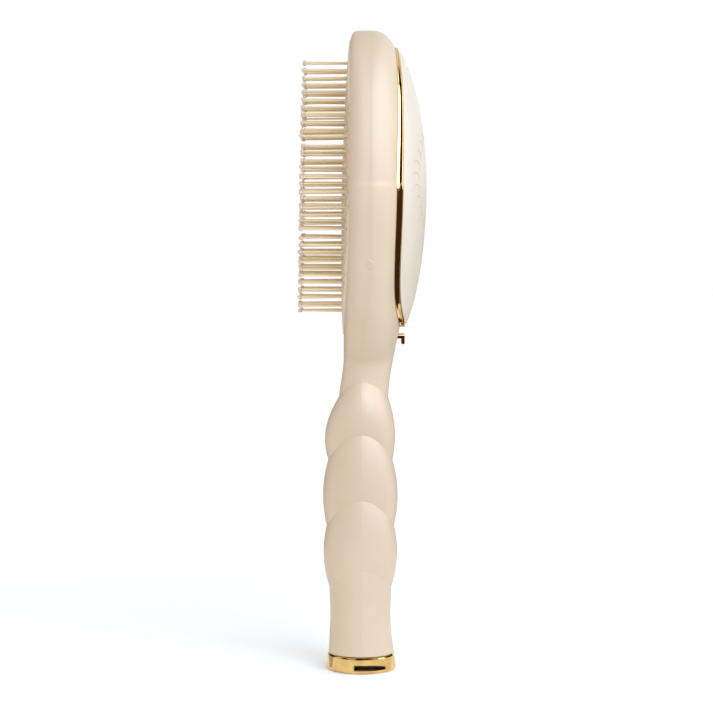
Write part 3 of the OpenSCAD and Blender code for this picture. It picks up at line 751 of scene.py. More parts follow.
@dataclass
class Shell:
    """The moulded body, in a front half with the pad's opening and a rear half with the plate's."""

    form: Form
    finishes: Finishes
    wall: float = 1.8
    sharp: float = 26.0
    columns: int = 40
    handle_step: float = 0.75
    neck_step: float = 0.8
    crown_levels: int = 22
    crown_last: tuple[float, ...] = (0.5, 0.2, 0.06, 0.01, 0.001)
    ridge: float = 0.015
    ridge_w: float = 0.16
    ridge_share: float = 0.1
    first_share: float = 0.2
    seam: float = 0.002
    foot_chamfer: float = 0.2
    least_width: float = 1e-4
    most_open: float = 0.999
    rim_r: float = 0.9
    rim_steps: int = 8
    slope_step: float = 0.05
    slope_limits: Span = (-0.2, 3)
    opening_w: float = 29.4
    opening_l: float = 55.1
    lip_w: float = 30.55
    lip_l: float = 56.25
    lip_y: float = -2.9
    arm_slot: tuple[float, float, float] = (3.8, 120.9, 127.1)
    slot_levels: int = 24
    slot_power: float = 4.0
    mark_place: Plan = (3.1, 153.8)
    mark_stretch: float = 1.3
    mark_rings: tuple[Span, ...] = ((0.9, 0.1), (0.9, -0.25), (1.2, -0.25), (1.4, 0.0), (1.3, 0.1), (1.0, 0.12))
    mark_sides: int = 32
    mark_sharp: float = 50.0

    def inner_size(self, z: float) -> tuple[float, float, float]:
        """Size of the inner skin's section, thinner where the body is thin."""
        form = self.form
        if z > form.middle_z:
            z = form.middle_z + (z - form.middle_z) * form.top_len / (form.top_len - self.wall)
        return tuple(v - self.wall * min(1, v / (4 * self.wall)) for v in form.size(min(z, form.top_z)))

    def handle_heights(self) -> list[float]:
        """Heights of the handle's levels, close together at the creases."""
        ends = [self.form.cap_h, *self.form.creases]
        heights = []
        for low, high in zip(ends, ends[1:]):
            count = round((high - low) / self.handle_step)
            heights += [low + (high - low) * (1 - math.cos(math.pi * i / count)) / 2 for i in range(count)]
        return heights

    def crown_heights(self, low: float) -> list[float]:
        """Heights above an opening up to the crown's top, ever closer together.

        Args:
            low: Height of the opening's top.

        Returns:
            The heights, without the first.
        """
        form = self.form
        start = math.asin((low - form.middle_z) / form.top_len) / (math.pi / 2)
        shares = [start + (1 - start) * i / self.crown_levels for i in range(1, self.crown_levels)]
        shares += [1 - (1 - start) / self.crown_levels * s for s in self.crown_last]
        return [form.middle_z + form.top_len * math.sin(math.pi / 2 * s) for s in shares] + [form.top_z]

    def rows(self, half: Half) -> list[Row]:
        """Lay out the levels of a half.

        Args:
            half: Which half.

        Returns:
            The levels from the foot to the crown.
        """
        form = self.form
        rows = [Row(z, 0, z, 0) for z in self.handle_heights()]
        rows.insert(1, Row(form.cap_h + self.foot_chamfer, 0, form.cap_h + self.foot_chamfer, 0))
        low = form.creases[3]
        if half is Half.REAR:
            slot_w, slot_low, slot_high = self.arm_slot
            rows += [Row(z, 0, z, 0) for z in self.between(low, slot_low)]
            middle, reach = (slot_low + slot_high) / 2, (slot_high - slot_low) / 2
            for i in range(self.slot_levels + 1):
                a = math.pi * (i / self.slot_levels - 0.5)
                z = middle + reach * math.copysign(abs(math.sin(a)) ** (1 / self.slot_power), a)
                width = slot_w * max(0, math.cos(a)) ** (1 / self.slot_power) if 0 < i < self.slot_levels else 0
                rows.append(Row(z, width, z, width, a, 0))
            opening = (form.hole_w, form.hole_l, form.hole_w, form.hole_l)
            low = slot_high
        else:
            opening = (self.opening_w + self.rim_r, self.opening_l + self.rim_r, self.lip_w, self.lip_l)
        out_w, out_l, in_w, in_l = opening
        start = form.oval_z - out_l
        inner_start = form.oval_z - in_l
        for z in self.between(low, start)[1:]:
            share = (z - low) / (start - low)
            rows.append(Row(z, 0, z + (inner_start - start) * share, 0))
        for degree in range(-90, 91):
            a = math.radians(degree)
            width = math.cos(a) if abs(degree) < 90 else 0
            rows.append(Row(form.oval_z + out_l * math.sin(a), out_w * width,
                            form.oval_z + in_l * math.sin(a), in_w * width, a, 1))
        top, inner_top = form.oval_z + out_l, form.oval_z + in_l
        scale = (form.top_z - self.wall - inner_top) / (form.top_z - top)
        rows += [Row(z, 0, inner_top + (z - top) * scale, 0) for z in self.crown_heights(top)]
        return rows

    def between(self, low: float, high: float) -> list[float]:
        """Even heights from one height up to just below another."""
        count = max(1, round((high - low) / self.neck_step))
        return [low + (high - low) * i / count for i in range(count)]

    def line(self, half: Half, z: float, opening: float, inside: bool) -> list[Point]:
        """Points of one level on the +X side, from the parting line to the opening or the middle.

        Args:
            half: Which half.
            z: Height of the level.
            opening: Half the opening's width there.
            inside: Whether the level is on the inner skin.

        Returns:
            The points.
        """
        form = self.form
        width, back, front = self.inner_size(z) if inside else form.size(z)
        depth = back if half is Half.REAR else front
        if not inside and z == form.cap_h:
            width, depth = width - self.foot_chamfer, depth - self.foot_chamfer
        power, parting = form.square(half, z), form.parting_y(z)
        if width < self.least_width:
            return [(0.0, parting, z)] * (self.columns + 1)
        share = min(opening / width, self.most_open)
        end = math.atan((share ** -power - 1) ** (1 / power)) if share > 0 else math.pi / 2
        first = min(self.ridge_w / max(depth, TINY), self.first_share * end)
        points = []
        for j in range(self.columns + 1):
            psi = 0.0 if j == 0 else first + (end - first) * (j - 1) / (self.columns - 1)
            c, s = math.cos(psi), math.sin(psi)
            if share == 0 and j == self.columns:
                c, s = 0.0, 1.0
            reach = (c ** power + s ** power) ** (-1 / power)
            x, y = width * c * reach, depth * s * reach
            lift = form.arch(z, x / width)
            if j == 0:
                y = self.seam
                x += 0 if inside else min(self.ridge, width * self.ridge_share)
            points.append((x, parting + half.value * y, z + lift))
        return points

    def rim(self, a: float) -> list[Point]:
        """The rounded rim of the pad's opening, its wall and the lip's groove, at one angle.

        Args:
            a: Angle round the oval, in radians.

        Returns:
            Points from the outer skin to the inner skin's edge.
        """
        form = self.form
        c, s = (math.cos(a), math.sin(a)) if abs(abs(a) - math.pi / 2) > TINY else (0.0, math.copysign(1, a))

        def at(share: float) -> Plan:
            """A place beyond the opening's wall, in plan."""
            return (self.opening_w + share) * c, form.oval_z + (self.opening_l + share) * s

        edge = form.front_y(*at(self.rim_r))
        beyond = form.front_y(*at(self.rim_r + self.slope_step))
        slope = math.atan(clamp((beyond - edge) / self.slope_step, *self.slope_limits))
        radius = self.rim_r / (1 + math.sin(slope))
        points = []
        for k in range(self.rim_steps + 1):
            b = -slope + (math.pi / 2 + slope) * k / self.rim_steps
            x, z = at(radius - radius * math.sin(b))
            points.append((x, edge + radius * math.cos(slope) - radius * math.cos(b), z))
        x, z = at(0)
        points.append((x, self.lip_y, z))
        points.append((self.lip_w * c, self.lip_y, form.oval_z + self.lip_l * s))
        return points

    def half(self, half: Half) -> Skin:
        """Build one closed half.

        Args:
            half: Which half.

        Returns:
            Its mesh.
        """
        skin = Skin()
        rows = self.rows(half)
        outer = [self.line(half, r.outer_z, r.outer_open, False) for r in rows]
        inner = [self.line(half, r.inner_z, r.inner_open, True) for r in rows]
        for side in (1, -1):
            def turned(points: list[Point]) -> list[Point]:
                """Points on this side."""
                return [(side * x, y, z) for x, y, z in points]

            skin.net([turned(line) for line in outer])
            skin.net([turned(line) for line in inner])
            skin.net([turned([o[0] for o in outer]), turned([i[0] for i in inner])])
            skin.net([turned(outer[0]), turned(inner[0])])
            for number in {r.opening for r in rows} - {-1}:
                edges = []
                for row, line, back in zip(rows, outer, inner):
                    if row.opening == number:
                        rim = [line[-1]] if half is Half.REAR else [line[-1], *self.rim(row.angle)[1:]]
                        edges.append(turned([*rim, back[-1]]))
                skin.net(edges)
        return skin

    def gate_mark(self) -> Skin:
        """The faint round mark on the side of the head, as a shallow disc on the skin."""
        form = self.form
        skin = Skin()
        centre_y, centre_z = self.mark_place
        rings = []
        for radius, height in self.mark_rings:
            ring = []
            for a in full_turn(self.mark_sides):
                y, z = centre_y + radius * math.cos(a), centre_z + self.mark_stretch * radius * math.sin(a)
                width, back, front = form.size(z)
                off = y - form.parting_y(z)
                half = Half.REAR if off > 0 else Half.FRONT
                depth = back if off > 0 else front
                x = width * round_off(abs(off) / depth, form.square(half, z))
                ring.append((x + height, y, z))
            rings.append(ring)
        skin.net(rings, closed=True, looped=True)
        return skin

    def build(self) -> None:
        """Make both halves and the mark."""
        material = self.finishes.shell.material()
        for half, name, node in ((Half.FRONT, "body_front", "front_shell"), (Half.REAR, "body_rear", "rear_shell")):
            finish_piece(name, self.half(half).mesh(name, self.sharp), [material], Body.HANDLE, Slot.SHELL, node)
        finish_piece("mould_mark", self.gate_mark().mesh("mould_mark", self.mark_sharp), [material], Body.HANDLE,
                     Slot.SHELL)


# Pins and pad


@dataclass(frozen=True)
class Pin:
    """One pin: its row, its place on the pad, its slight lean and how much shorter than the longest it is."""

    row: int
    x: float
    z: float
    lean_x: float
    lean_z: float
    shorter: float
    spin: float


@dataclass(frozen=True)
class PinField:
    """Where the pins stand, in staggered rows inside the oval, each a little off its row."""

    oval_z: float = 181.7
    half_w: float = 24.6
    half_l: float = 47.6
    row_pitch: float = 2.8
    pin_pitch: float = 4.2
    half_rows: int = 17
    half_columns: int = 7
    stagger: float = 0.25
    post_gap: float = 3.67
    post_rows: int = 6
    zigzag: Span = (0.2, 0.45)
    wander: Span = (0.2, 0.4)
    lean: float = 0.9
    shorter: float = 0.8
    seed: int = 5

    @property
    def posts(self) -> tuple[float, float]:
        """Heights of the spring posts, upper first."""
        return self.oval_z + self.post_rows * self.row_pitch, self.oval_z - self.post_rows * self.row_pitch

    def off_row(self, row: int, column: int, chance: random.Random) -> float:
        """How far a pin stands above its row, away from the ribs that cross the pad's back.

        Args:
            row: The pin's row.
            column: Its place in the row.
            chance: Source of its wander.

        Returns:
            The distance.
        """
        share = 1 - abs(row + 0.5) * self.row_pitch / self.half_l
        zigzag, wander = (end + (middle - end) * share for end, middle in (self.zigzag, self.wander))
        off = zigzag * (1 if column % 2 else -1) + chance.uniform(-wander, wander)
        if row in (self.post_rows, -self.post_rows):
            return abs(off)
        return -abs(off) if row in (self.post_rows - 1, -self.post_rows - 1) else off

    def pins(self) -> list[Pin]:
        """Lay out every pin.

        Returns:
            The pins, row by row from the lowest.
        """
        chance = random.Random(self.seed)
        found = []
        for row in range(-self.half_rows, self.half_rows):
            row_z = self.oval_z + (row + 0.5) * self.row_pitch
            shift = self.stagger if row % 2 == 0 else -self.stagger
            for column in range(-self.half_columns, self.half_columns + 1):
                x = (column + shift) * self.pin_pitch
                inside = math.hypot(x / self.half_w, (row_z - self.oval_z) / self.half_l) <= 1
                z = row_z + self.off_row(row, column, chance)
                leans = [math.tan(math.radians(chance.uniform(-self.lean, self.lean))) for _ in range(2)]
                pin = Pin(row, x, z, *leans, chance.uniform(0, self.shorter), chance.uniform(0, 1))
                if inside and all(math.hypot(x, row_z - post) >= self.post_gap for post in self.posts):
                    found.append(pin)
        return found


@dataclass
class Cushion:
    """The soft crowned pad, with a low collar round each pin's hole."""

    form: Form
    pins: PinField
    finishes: Finishes
    half_w: float = 29.25
    half_l: float = 54.95
    lip_w: float = 30.4
    lip_l: float = 56.1
    pocket_w: float = 28.4
    pocket_l: float = 54.1
    crown_y: float = -7.5
    side_r: float = 116.0
    long_r: float = 1130.0
    crown_drop: float = 26.0
    front_y: float = -2.9
    back_y: float = -1.7
    hole_r: float = 0.72
    collar_r: float = 1.02
    collar_h: float = 0.12
    collar_shares: tuple[float, ...] = (1, 0.6, 0.25, 0)
    lip_drop: float = 0.35
    lip_power: float = 4.0
    edge_len: float = 2.6
    edge_drop: float = 0.35
    edge_power: float = 2.2
    edge_insets: tuple[float, ...] = (0.35, 0.8, 1.5, 2.4)
    pull_start: float = 0.93
    pull_len: float = 0.07
    outline_count: int = 180
    hole_sides: int = 12
    sharp: float = 40.0

    def crowned_y(self, x: float, z: float) -> float:
        """Depth of the pad's crowned face, without its collars."""
        form = self.form
        side = self.side_r - math.sqrt(self.side_r ** 2 - x * x)
        along = self.long_r - math.sqrt(self.long_r ** 2 - (z - form.oval_z + self.crown_drop) ** 2)
        rho = math.hypot(x / self.half_w, (z - form.oval_z) / self.half_l)
        inset = (1 - rho) * self.half_w
        drop = self.edge_drop * clamp(1 - inset / self.edge_len) ** self.edge_power
        return self.crown_y + side + along + drop

    def collar_rise(self, distance: float) -> float:
        """How far a collar stands up at a distance from its hole's middle."""
        share = clamp((distance - self.hole_r) / (self.collar_r - self.hole_r))
        return self.collar_h * (1 - smooth(share)) * (1 - self.lip_drop * (1 - share) ** self.lip_power)

    def skin(self) -> Skin:
        """Build the closed pad.

        Returns:
            Its mesh.
        """
        form = self.form
        net = PlanNet()
        outline = net.ring(oval(self.half_w, self.half_l, self.outline_count, form.oval_z))
        for inset in self.edge_insets:
            net.ring(oval(self.half_w - inset, self.half_l - inset, self.outline_count, form.oval_z))
        rise: dict[int, float] = {}
        holes = []
        for pin in self.pins.pins():
            for share in self.collar_shares:
                radius = self.hole_r + (self.collar_r - self.hole_r) * share
                ring = net.circle((pin.x, pin.z), radius, self.hole_sides, share == 0)
                rise.update({p: self.collar_rise(radius) for p in ring})
                if share == 0:
                    holes.append(ring)
        net.solve(outline)
        skin = Skin()
        front = [skin.point((x, self.crowned_y(x, z) - rise.get(i, 0), z)) for i, (x, z) in enumerate(net.plan)]
        pocket = oval(self.pocket_w, self.pocket_l, self.outline_count, form.oval_z)
        back = []
        for i, (x, z) in enumerate(net.plan):
            rho = math.hypot(x / self.half_w, (z - form.oval_z) / self.half_l)
            if rho > self.pull_start:
                share = (rho - self.pull_start) / self.pull_len
                pull_w = 1 - share * (1 - self.pocket_w / self.half_w)
                pull_l = 1 - share * (1 - self.pocket_l / self.half_l)
                x, z = x * pull_w, form.oval_z + (z - form.oval_z) * pull_l
            if i < self.outline_count:
                x, z = pocket[i]
            back.append(skin.point((x, self.front_y, z)))
        for a, b, c in net.triangles:
            skin.face((front[a], front[b], front[c]))
            skin.face((back[a], back[c], back[b]))
        for ring in holes:
            skin.strip([front[i] for i in ring], [back[i] for i in ring], closed=True)

        def level(half_w: float, half_l: float, y: float) -> list[int]:
            """A level ring round the pad."""
            return [skin.point((x, y, z)) for x, z in oval(half_w, half_l, self.outline_count, form.oval_z)]

        loops = [[front[i] for i in outline], level(self.half_w, self.half_l, self.front_y),
                 level(self.lip_w, self.lip_l, self.front_y), level(self.lip_w, self.lip_l, self.back_y),
                 level(self.pocket_w, self.pocket_l, self.back_y), [back[i] for i in outline]]
        for first, second in zip(loops, loops[1:]):
            skin.strip(first, second, closed=True)
        return skin

    def build(self) -> None:
        """Make the pad."""
        pad = finish_piece("soft_pad", self.skin().mesh("soft_pad", self.sharp), [self.finishes.pad.material()],
                           Body.HANDLE, Slot.PAD, "cushion")


@dataclass
class Pins:
    """The ball-tipped pins in three groups, each on its slice of the bed."""

    form: Form
    pins: PinField
    finishes: Finishes
    shaft_r: float = 0.3
    shaft_taper: float = 0.02
    shaft_y: float = -7.0
    shaft_sides: int = 10
    root_r: float = 0.38
    root_depth: float = 0.4
    ball_r: float = 0.72
    ball_shares: Span = (1.3, 0.55)
    ball_cut: float = 0.04
    ball_levels: int = 8
    ball_sides: int = 14
    tip_y: float = -22.2
    tip_extra: float = 1.7
    pad_y: float = -5.0
    bed_front: float = -2.6
    bed_back: float = -1.0
    bed_w: float = 26.35
    bed_l: float = 49.35
    slice_gap: float = 0.9
    slice_steps: int = 48
    well_r: float = 3.05
    well_steps: int = 12
    sharp: float = 40.0

    def pin(self, skin: Skin, pin: Pin) -> None:
        """Add one pin.

        Args:
            skin: The mesh that it joins.
            pin: The pin.
        """
        share = (self.form.oval_z + self.pins.half_l - pin.z) / (2 * self.pins.half_l)
        middle = self.tip_y - self.tip_extra * share + pin.shorter + self.ball_r

        def at(y: float) -> Point:
            """Place on the pin's axis at a depth."""
            return pin.x + (self.pad_y - y) * pin.lean_x, y, pin.z + (self.pad_y - y) * pin.lean_z

        ends = [self.bed_front + self.root_depth, self.shaft_y, *(middle + self.ball_r * s for s in self.ball_shares)]
        radii = [self.root_r, self.shaft_r + self.shaft_taper, self.shaft_r, self.shaft_r]
        skin.tube([at(y) for y in ends], radii, self.shaft_sides, pin.spin)
        rings = []
        for k in range(self.ball_levels + 1):
            a = math.pi * (self.ball_cut + (1 - 2 * self.ball_cut) * k / self.ball_levels)
            x, y, z = at(middle + self.ball_r * math.cos(a))
            reach = self.ball_r * math.sin(a)
            rings.append([(x + reach * math.cos(pin.spin + b), y, z + reach * math.sin(pin.spin + b))
                          for b in full_turn(self.ball_sides)])
        skin.net(rings, closed=True, tint=1)
        skin.cap(rings[0], 1)
        skin.cap(rings[-1], 1)

    def bed(self, skin: Skin, low: float, high: float) -> None:
        """Add a slice of the oval bed between two heights.

        Args:
            skin: The mesh that it joins.
            low: Height of its lower edge.
            high: Height of its upper edge.
        """
        right = []
        for i in range(self.slice_steps + 1):
            z = low + (high - low) * (1 - math.cos(math.pi * i / self.slice_steps)) / 2
            reach = clamp(1 - ((z - self.form.oval_z) / self.bed_l) ** 2)
            right.append((self.bed_w * math.sqrt(reach), z))
        start = math.asin(self.slice_gap / self.well_r)
        angles = [start + (math.pi - 2 * start) * k / self.well_steps for k in range(self.well_steps + 1)]
        top_post, low_post = high + self.slice_gap, low - self.slice_gap
        outline = list(right)
        if any(abs(top_post - post) < TINY for post in self.pins.posts):
            outline += [(self.well_r * math.cos(a), top_post - self.well_r * math.sin(a)) for a in angles]
        outline += [(-x, z) for x, z in reversed(right)]
        if any(abs(low_post - post) < TINY for post in self.pins.posts):
            outline += [(-self.well_r * math.cos(a), low_post + self.well_r * math.sin(a)) for a in angles]
        rings = [[(x, y, z) for x, z in outline] for y in (self.bed_front, self.bed_back)]
        skin.net(rings, closed=True)
        skin.cap(rings[0])
        skin.cap(rings[1])

    def build(self) -> None:
        """Make the three groups."""
        materials = [self.finishes.pin.material(), self.finishes.ball.material()]
        upper, lower = self.pins.posts
        post, last, gap = self.pins.post_rows, self.pins.half_rows, self.slice_gap
        groups = (("pins_lower", "bristles_lower", -last, -post, self.form.oval_z - self.bed_l, lower - gap),
                  ("pins_middle", "bristles_middle", -post, post, lower + gap, upper - gap),
                  ("pins_upper", "bristles_upper", post, last, upper + gap, self.form.oval_z + self.bed_l))
        for name, node, low_row, high_row, low, high in groups:
            skin = Skin()
            self.bed(skin, low, high)
            for pin in self.pins.pins():
                if low_row <= pin.row < high_row:
                    self.pin(skin, pin)
            finish_piece(name, skin.mesh(name, self.sharp), materials, Body.PLATE, Slot.PIN, node)


# Ring, cover, cap and tab


@dataclass
class TrimRing:
    """The polished ring round the push plate, with a hollowed outer face between two small beads."""

    form: Form
    finishes: Finishes
    in_w: float = 26.05
    in_l: float = 50.45
    wall: float = 0.6
    collar: float = 1.5
    seat_gap: float = 0.12
    hollow: float = 0.16
    hollow_power: float = 0.8
    hollow_steps: int = 12
    bead: float = 0.14
    bead_share: float = 0.22
    bead_steps: int = 6
    edge: tuple[Span, ...] = ((0.3, 0.0), (0.1, 0.06), (0.0, 0.25))
    count: int = 240
    sharp: float = 35.0

    def profile(self, a: float) -> list[tuple[float, float]]:
        """Section of the ring at an angle.

        Args:
            a: Angle round the oval, in radians.

        Returns:
            Pairs of reach beyond the inner wall, and depth.
        """
        form = self.form
        outer = form.hole_w + form.ring_lip - self.in_w
        top = form.ring_top(a)
        seat = form.seat_y(a) + self.seat_gap
        x, z = form.hole_w * math.cos(a), form.oval_z + form.hole_l * math.sin(a)
        hole_seat = form.back_y(x, z) + self.seat_gap
        bead = min(self.bead, (top - seat) * self.bead_share)
        foot = form.seat_y(a) - self.collar
        *edge, (inner, drop) = self.edge
        points = [(inner, top - drop), (0.0, foot), (self.wall, foot), (self.wall, hole_seat), (outer - bead, seat)]
        for b in quarter_turn(self.bead_steps)[1:]:
            points.append((outer - bead + bead * math.sin(b), seat + bead - bead * math.cos(b)))
        for k in range(1, self.hollow_steps):
            t = k / self.hollow_steps
            depth = self.hollow * math.sin(math.pi * t) ** self.hollow_power
            points.append((outer - depth, seat + bead + (top - seat - 2 * bead) * t))
        for b in quarter_turn(self.bead_steps):
            points.append((outer - bead + bead * math.cos(b), top - bead + bead * math.sin(b)))
        points += [(reach, top - fall) for reach, fall in edge]
        return points

    def build(self) -> None:
        """Make the ring."""
        middle = self.form.oval_z
        skin = Skin()
        skin.net([[((self.in_w + reach) * math.cos(a), y, middle + (self.in_l + reach) * math.sin(a))
                   for reach, y in self.profile(a)] for a in full_turn(self.count)], closed=True, looped=True)
        finish_piece("trim_bezel", skin.mesh("trim_bezel", self.sharp), [self.finishes.gold.material()],
                     Body.HANDLE, Slot.GOLD, "trim_ring")


@dataclass
class DomedCover:
    """The domed cover of the push plate, with a ring of shallow round dimples whose rim bands take a painted shade."""

    form: Form
    finishes: Finishes
    half_w: float = 27.0
    half_l: float = 51.4
    skirt_w: float = 25.75
    skirt_l: float = 50.15
    skirt_wall: float = 1.4
    wall: float = 1.6
    gap: float = 0.15
    dome_y: float = 24.4
    dome_power: float = 0.75
    split: float = 0.88
    slope_rings: int = 14
    web_depth: float = 2.8
    brim_r: float = 0.4
    brim_drop: float = 0.6
    brim_steps: int = 5
    dimples: int = 26
    dimple_ring: Plan = (20.2, 18.0)
    dimple_z: float = 183.4
    dimple_w: float = 1.7
    dimple_l: float = 2.6
    dimple_depth: float = 0.16
    dimple_sides: int = 28
    dimple_clear: float = 1.22
    dimple_shares: tuple[float, ...] = (1.07, 1.0, 0.95, 0.9, 0.85, 0.55, 0.2)
    dimple_wall: Span = (1.03, 0.16)
    # Outline sizes that mark each dimple's rim band, whose faces take the painted shade.
    shaded_rim: Span = (0.86, 1.05)
    grid: Plan = (1.15, 1.1)
    grid_reach: tuple[int, int] = (22, 42)
    grid_margin: float = 0.035
    outline_count: int = 180
    sharp: float = 35.0

    def edge_y(self, a: float) -> float:
        """Depth of the cover's edge at an angle."""
        return self.form.ring_top(a) + self.gap

    @property
    def web_y(self) -> float:
        """Depth of the skirt's end inside the cover."""
        return self.edge_y(0) - self.web_depth

    def dome(self, rho: float, a: float) -> float:
        """Depth of the dome.

        Args:
            rho: Place between its middle, 0, and its edge, 1.
            a: Angle round the oval, in radians.

        Returns:
            The depth.
        """
        edge = self.edge_y(a)
        return edge + (self.dome_y - edge) * max(0.0, 1 - rho * rho) ** self.dome_power

    def dome_over(self, x: float, z: float) -> float:
        """Depth of the dome over a place in plan."""
        across, along = x / self.half_w, (z - self.form.oval_z) / self.half_l
        return self.dome(math.hypot(across, along), math.atan2(along, across))

    def dimple_outline(self, number: int, share: float) -> list[Plan]:
        """Points round one of the dimples, which are ovals that point to the ring's middle.

        Args:
            number: Which dimple.
            share: Size of the outline, 1 at the dimple's own edge.

        Returns:
            The points.
        """
        turn = 2 * math.pi * (number + 0.5) / self.dimples
        ring_w, ring_l = self.dimple_ring
        found = []
        for b in full_turn(self.dimple_sides):
            out, aside = self.dimple_l * share * math.cos(b), self.dimple_w * share * math.sin(b)
            found.append(((ring_w + out) * math.cos(turn) - aside * math.sin(turn),
                          self.dimple_z + (ring_l + out) * math.sin(turn) + aside * math.cos(turn)))
        return found

    def in_dimple(self, x: float, z: float) -> bool:
        """Whether a place of the dome lies in a dimple or close to its edge."""
        ring_w, ring_l = self.dimple_ring
        step = 2 * math.pi / self.dimples
        turn = step * (math.floor(math.atan2((z - self.dimple_z) / ring_l, x / ring_w) / step) + 0.5)
        dx, dz = x - ring_w * math.cos(turn), z - self.dimple_z - ring_l * math.sin(turn)
        out, aside = dx * math.cos(turn) + dz * math.sin(turn), dz * math.cos(turn) - dx * math.sin(turn)
        return math.hypot(out / self.dimple_l, aside / self.dimple_w) < self.dimple_clear

    def skin(self) -> Skin:
        """Build the closed cover.

        Returns:
            Its mesh.
        """
        form = self.form
        count = self.outline_count
        net = PlanNet()
        outline = net.ring(oval(self.half_w * self.split, self.half_l * self.split, count, form.oval_z))
        sunk: dict[int, float] = {}
        edges: set[int] = set()
        (wall_start, wall_len), (shade_start, shade_end) = self.dimple_wall, self.shaded_rim
        for k in range(self.dimples):
            for share in self.dimple_shares:
                ring = net.ring(self.dimple_outline(k, share))
                sunk.update({p: self.dimple_depth * smooth((wall_start - share) / wall_len) for p in ring})
                # Points of the rim band, whose faces take the painted shade.
                edges.update(ring if shade_start < share < shade_end else ())
        across, along = self.grid_reach
        for i in range(-across, across + 1):
            for j in range(-along, along + 1):
                x, z = (i + (j % 2) / 2) * self.grid[0], form.oval_z + j * self.grid[1]
                rho = math.hypot(x / self.half_w, (z - form.oval_z) / self.half_l)
                if rho < self.split - self.grid_margin and not self.in_dimple(x, z):
                    net.plan.append((x, z))
        net.solve(outline)
        skin = Skin()
        shrink_w = 1 - self.wall / self.half_w
        shrink_l = 1 - self.wall / self.half_l
        front, back = [], []
        for i, (x, z) in enumerate(net.plan):
            y = self.dome_over(x, z)
            front.append(skin.point((x, y - sunk.get(i, 0), z)))
            back.append(skin.point((x * shrink_w, y - self.wall, form.oval_z + (z - form.oval_z) * shrink_l)))
        for a, b, c in net.triangles:
            # Faces with every corner in a rim band take the second finish, the painted dimple shade.
            skin.face((front[a], front[b], front[c]), int({a, b, c} <= edges))
            skin.face((back[a], back[c], back[b]))

        def loop(half_w: float, half_l: float, depth: Callable[[float], float]) -> list[int]:
            """A ring of points with a depth for each angle."""
            return [skin.point((half_w * math.cos(a), depth(a), form.oval_z + half_l * math.sin(a)))
                    for a in full_turn(count)]

        loops = [[front[i] for i in outline]]
        start = math.asin(self.split)
        for k in range(1, self.slope_rings):
            rho = math.sin(start + (math.pi / 2 - start) * k / self.slope_rings)
            loops.append(loop(self.half_w * rho, self.half_l * rho, lambda a, rho=rho: self.dome(rho, a)))
        for b in quarter_turn(self.brim_steps):
            inset = self.brim_r * (1 - math.cos(b))
            drop = self.brim_r * (1 - math.sin(b)) * self.brim_drop
            loops.append(loop(self.half_w - inset, self.half_l - inset, lambda a, drop=drop: self.edge_y(a) + drop))
        loops.append(loop(self.skirt_w, self.skirt_l, self.edge_y))
        loops.append(loop(self.skirt_w, self.skirt_l, lambda a: self.web_y))
        loops.append(loop(self.skirt_w - self.skirt_wall, self.skirt_l - self.skirt_wall, lambda a: self.web_y))
        loops.append([back[i] for i in outline])
        for first, second in zip(loops, loops[1:]):
            skin.strip(first, second, closed=True)
        return skin

    def build(self) -> None:
        """Make the cover."""
        # The second finish paints shade on the dimples' rims.
        finishes = [self.finishes.cover.material(), self.finishes.dimple_shade.material()]
        finish_piece("domed_cover", self.skin().mesh("domed_cover", self.sharp), finishes, Body.PLATE, Slot.COVER,
                     "back_cover")


@dataclass
class EndCap:
    """The flared gold cap that the brush stands on."""

    form: Form
    finishes: Finishes
    foot_r: float = 13.15
    foot_edge: float = 1.2
    foot_steps: int = 8
    shoulder_r: float = 12.7
    shoulder: tuple[Span, ...] = ((0.02, 0.06), (0.1, 0.16), (0.9, 0.96), (0.96, 1.0))
    bevel: float = 0.85
    floor: float = 1.6
    wall: float = 1.2
    flare_power: float = 2.0
    flare_steps: int = 16
    count: int = 128
    sharp: float = 28.0

    def profile(self) -> list[tuple[float, float]]:
        """Radius and height of the cap's section, from the middle of its base round to the middle of its floor."""
        form = self.form
        waist = form.cap_h - self.bevel
        inside = form.tail_end_r - self.wall
        points = [(0.0, 0.0)]
        for a in quarter_turn(self.foot_steps):
            points.append((self.foot_r - self.foot_edge + self.foot_edge * math.sin(a),
                           self.foot_edge - self.foot_edge * math.cos(a)))
        for k in range(1, self.flare_steps + 1):
            t = k / self.flare_steps
            points.append((self.foot_r - (self.foot_r - self.shoulder_r) * (1 - (1 - t) ** self.flare_power),
                           self.foot_edge + (waist - self.foot_edge) * t))
        points += [(self.shoulder_r - self.bevel * share, waist + self.bevel * rise)
                   for share, rise in self.shoulder]
        points += [(inside, form.cap_h), (inside, self.floor), (0.0, self.floor)]
        return points

    def build(self) -> None:
        """Make the cap."""
        skin = Skin()
        skin.net([[(r * math.cos(a), r * math.sin(a), z) for r, z in self.profile()]
                  for a in full_turn(self.count)], looped=True)
        finish_piece("gold_foot", skin.mesh("gold_foot", self.sharp), [self.finishes.cap_gold.material()],
                     Body.HANDLE, Slot.GOLD, "end_cap")


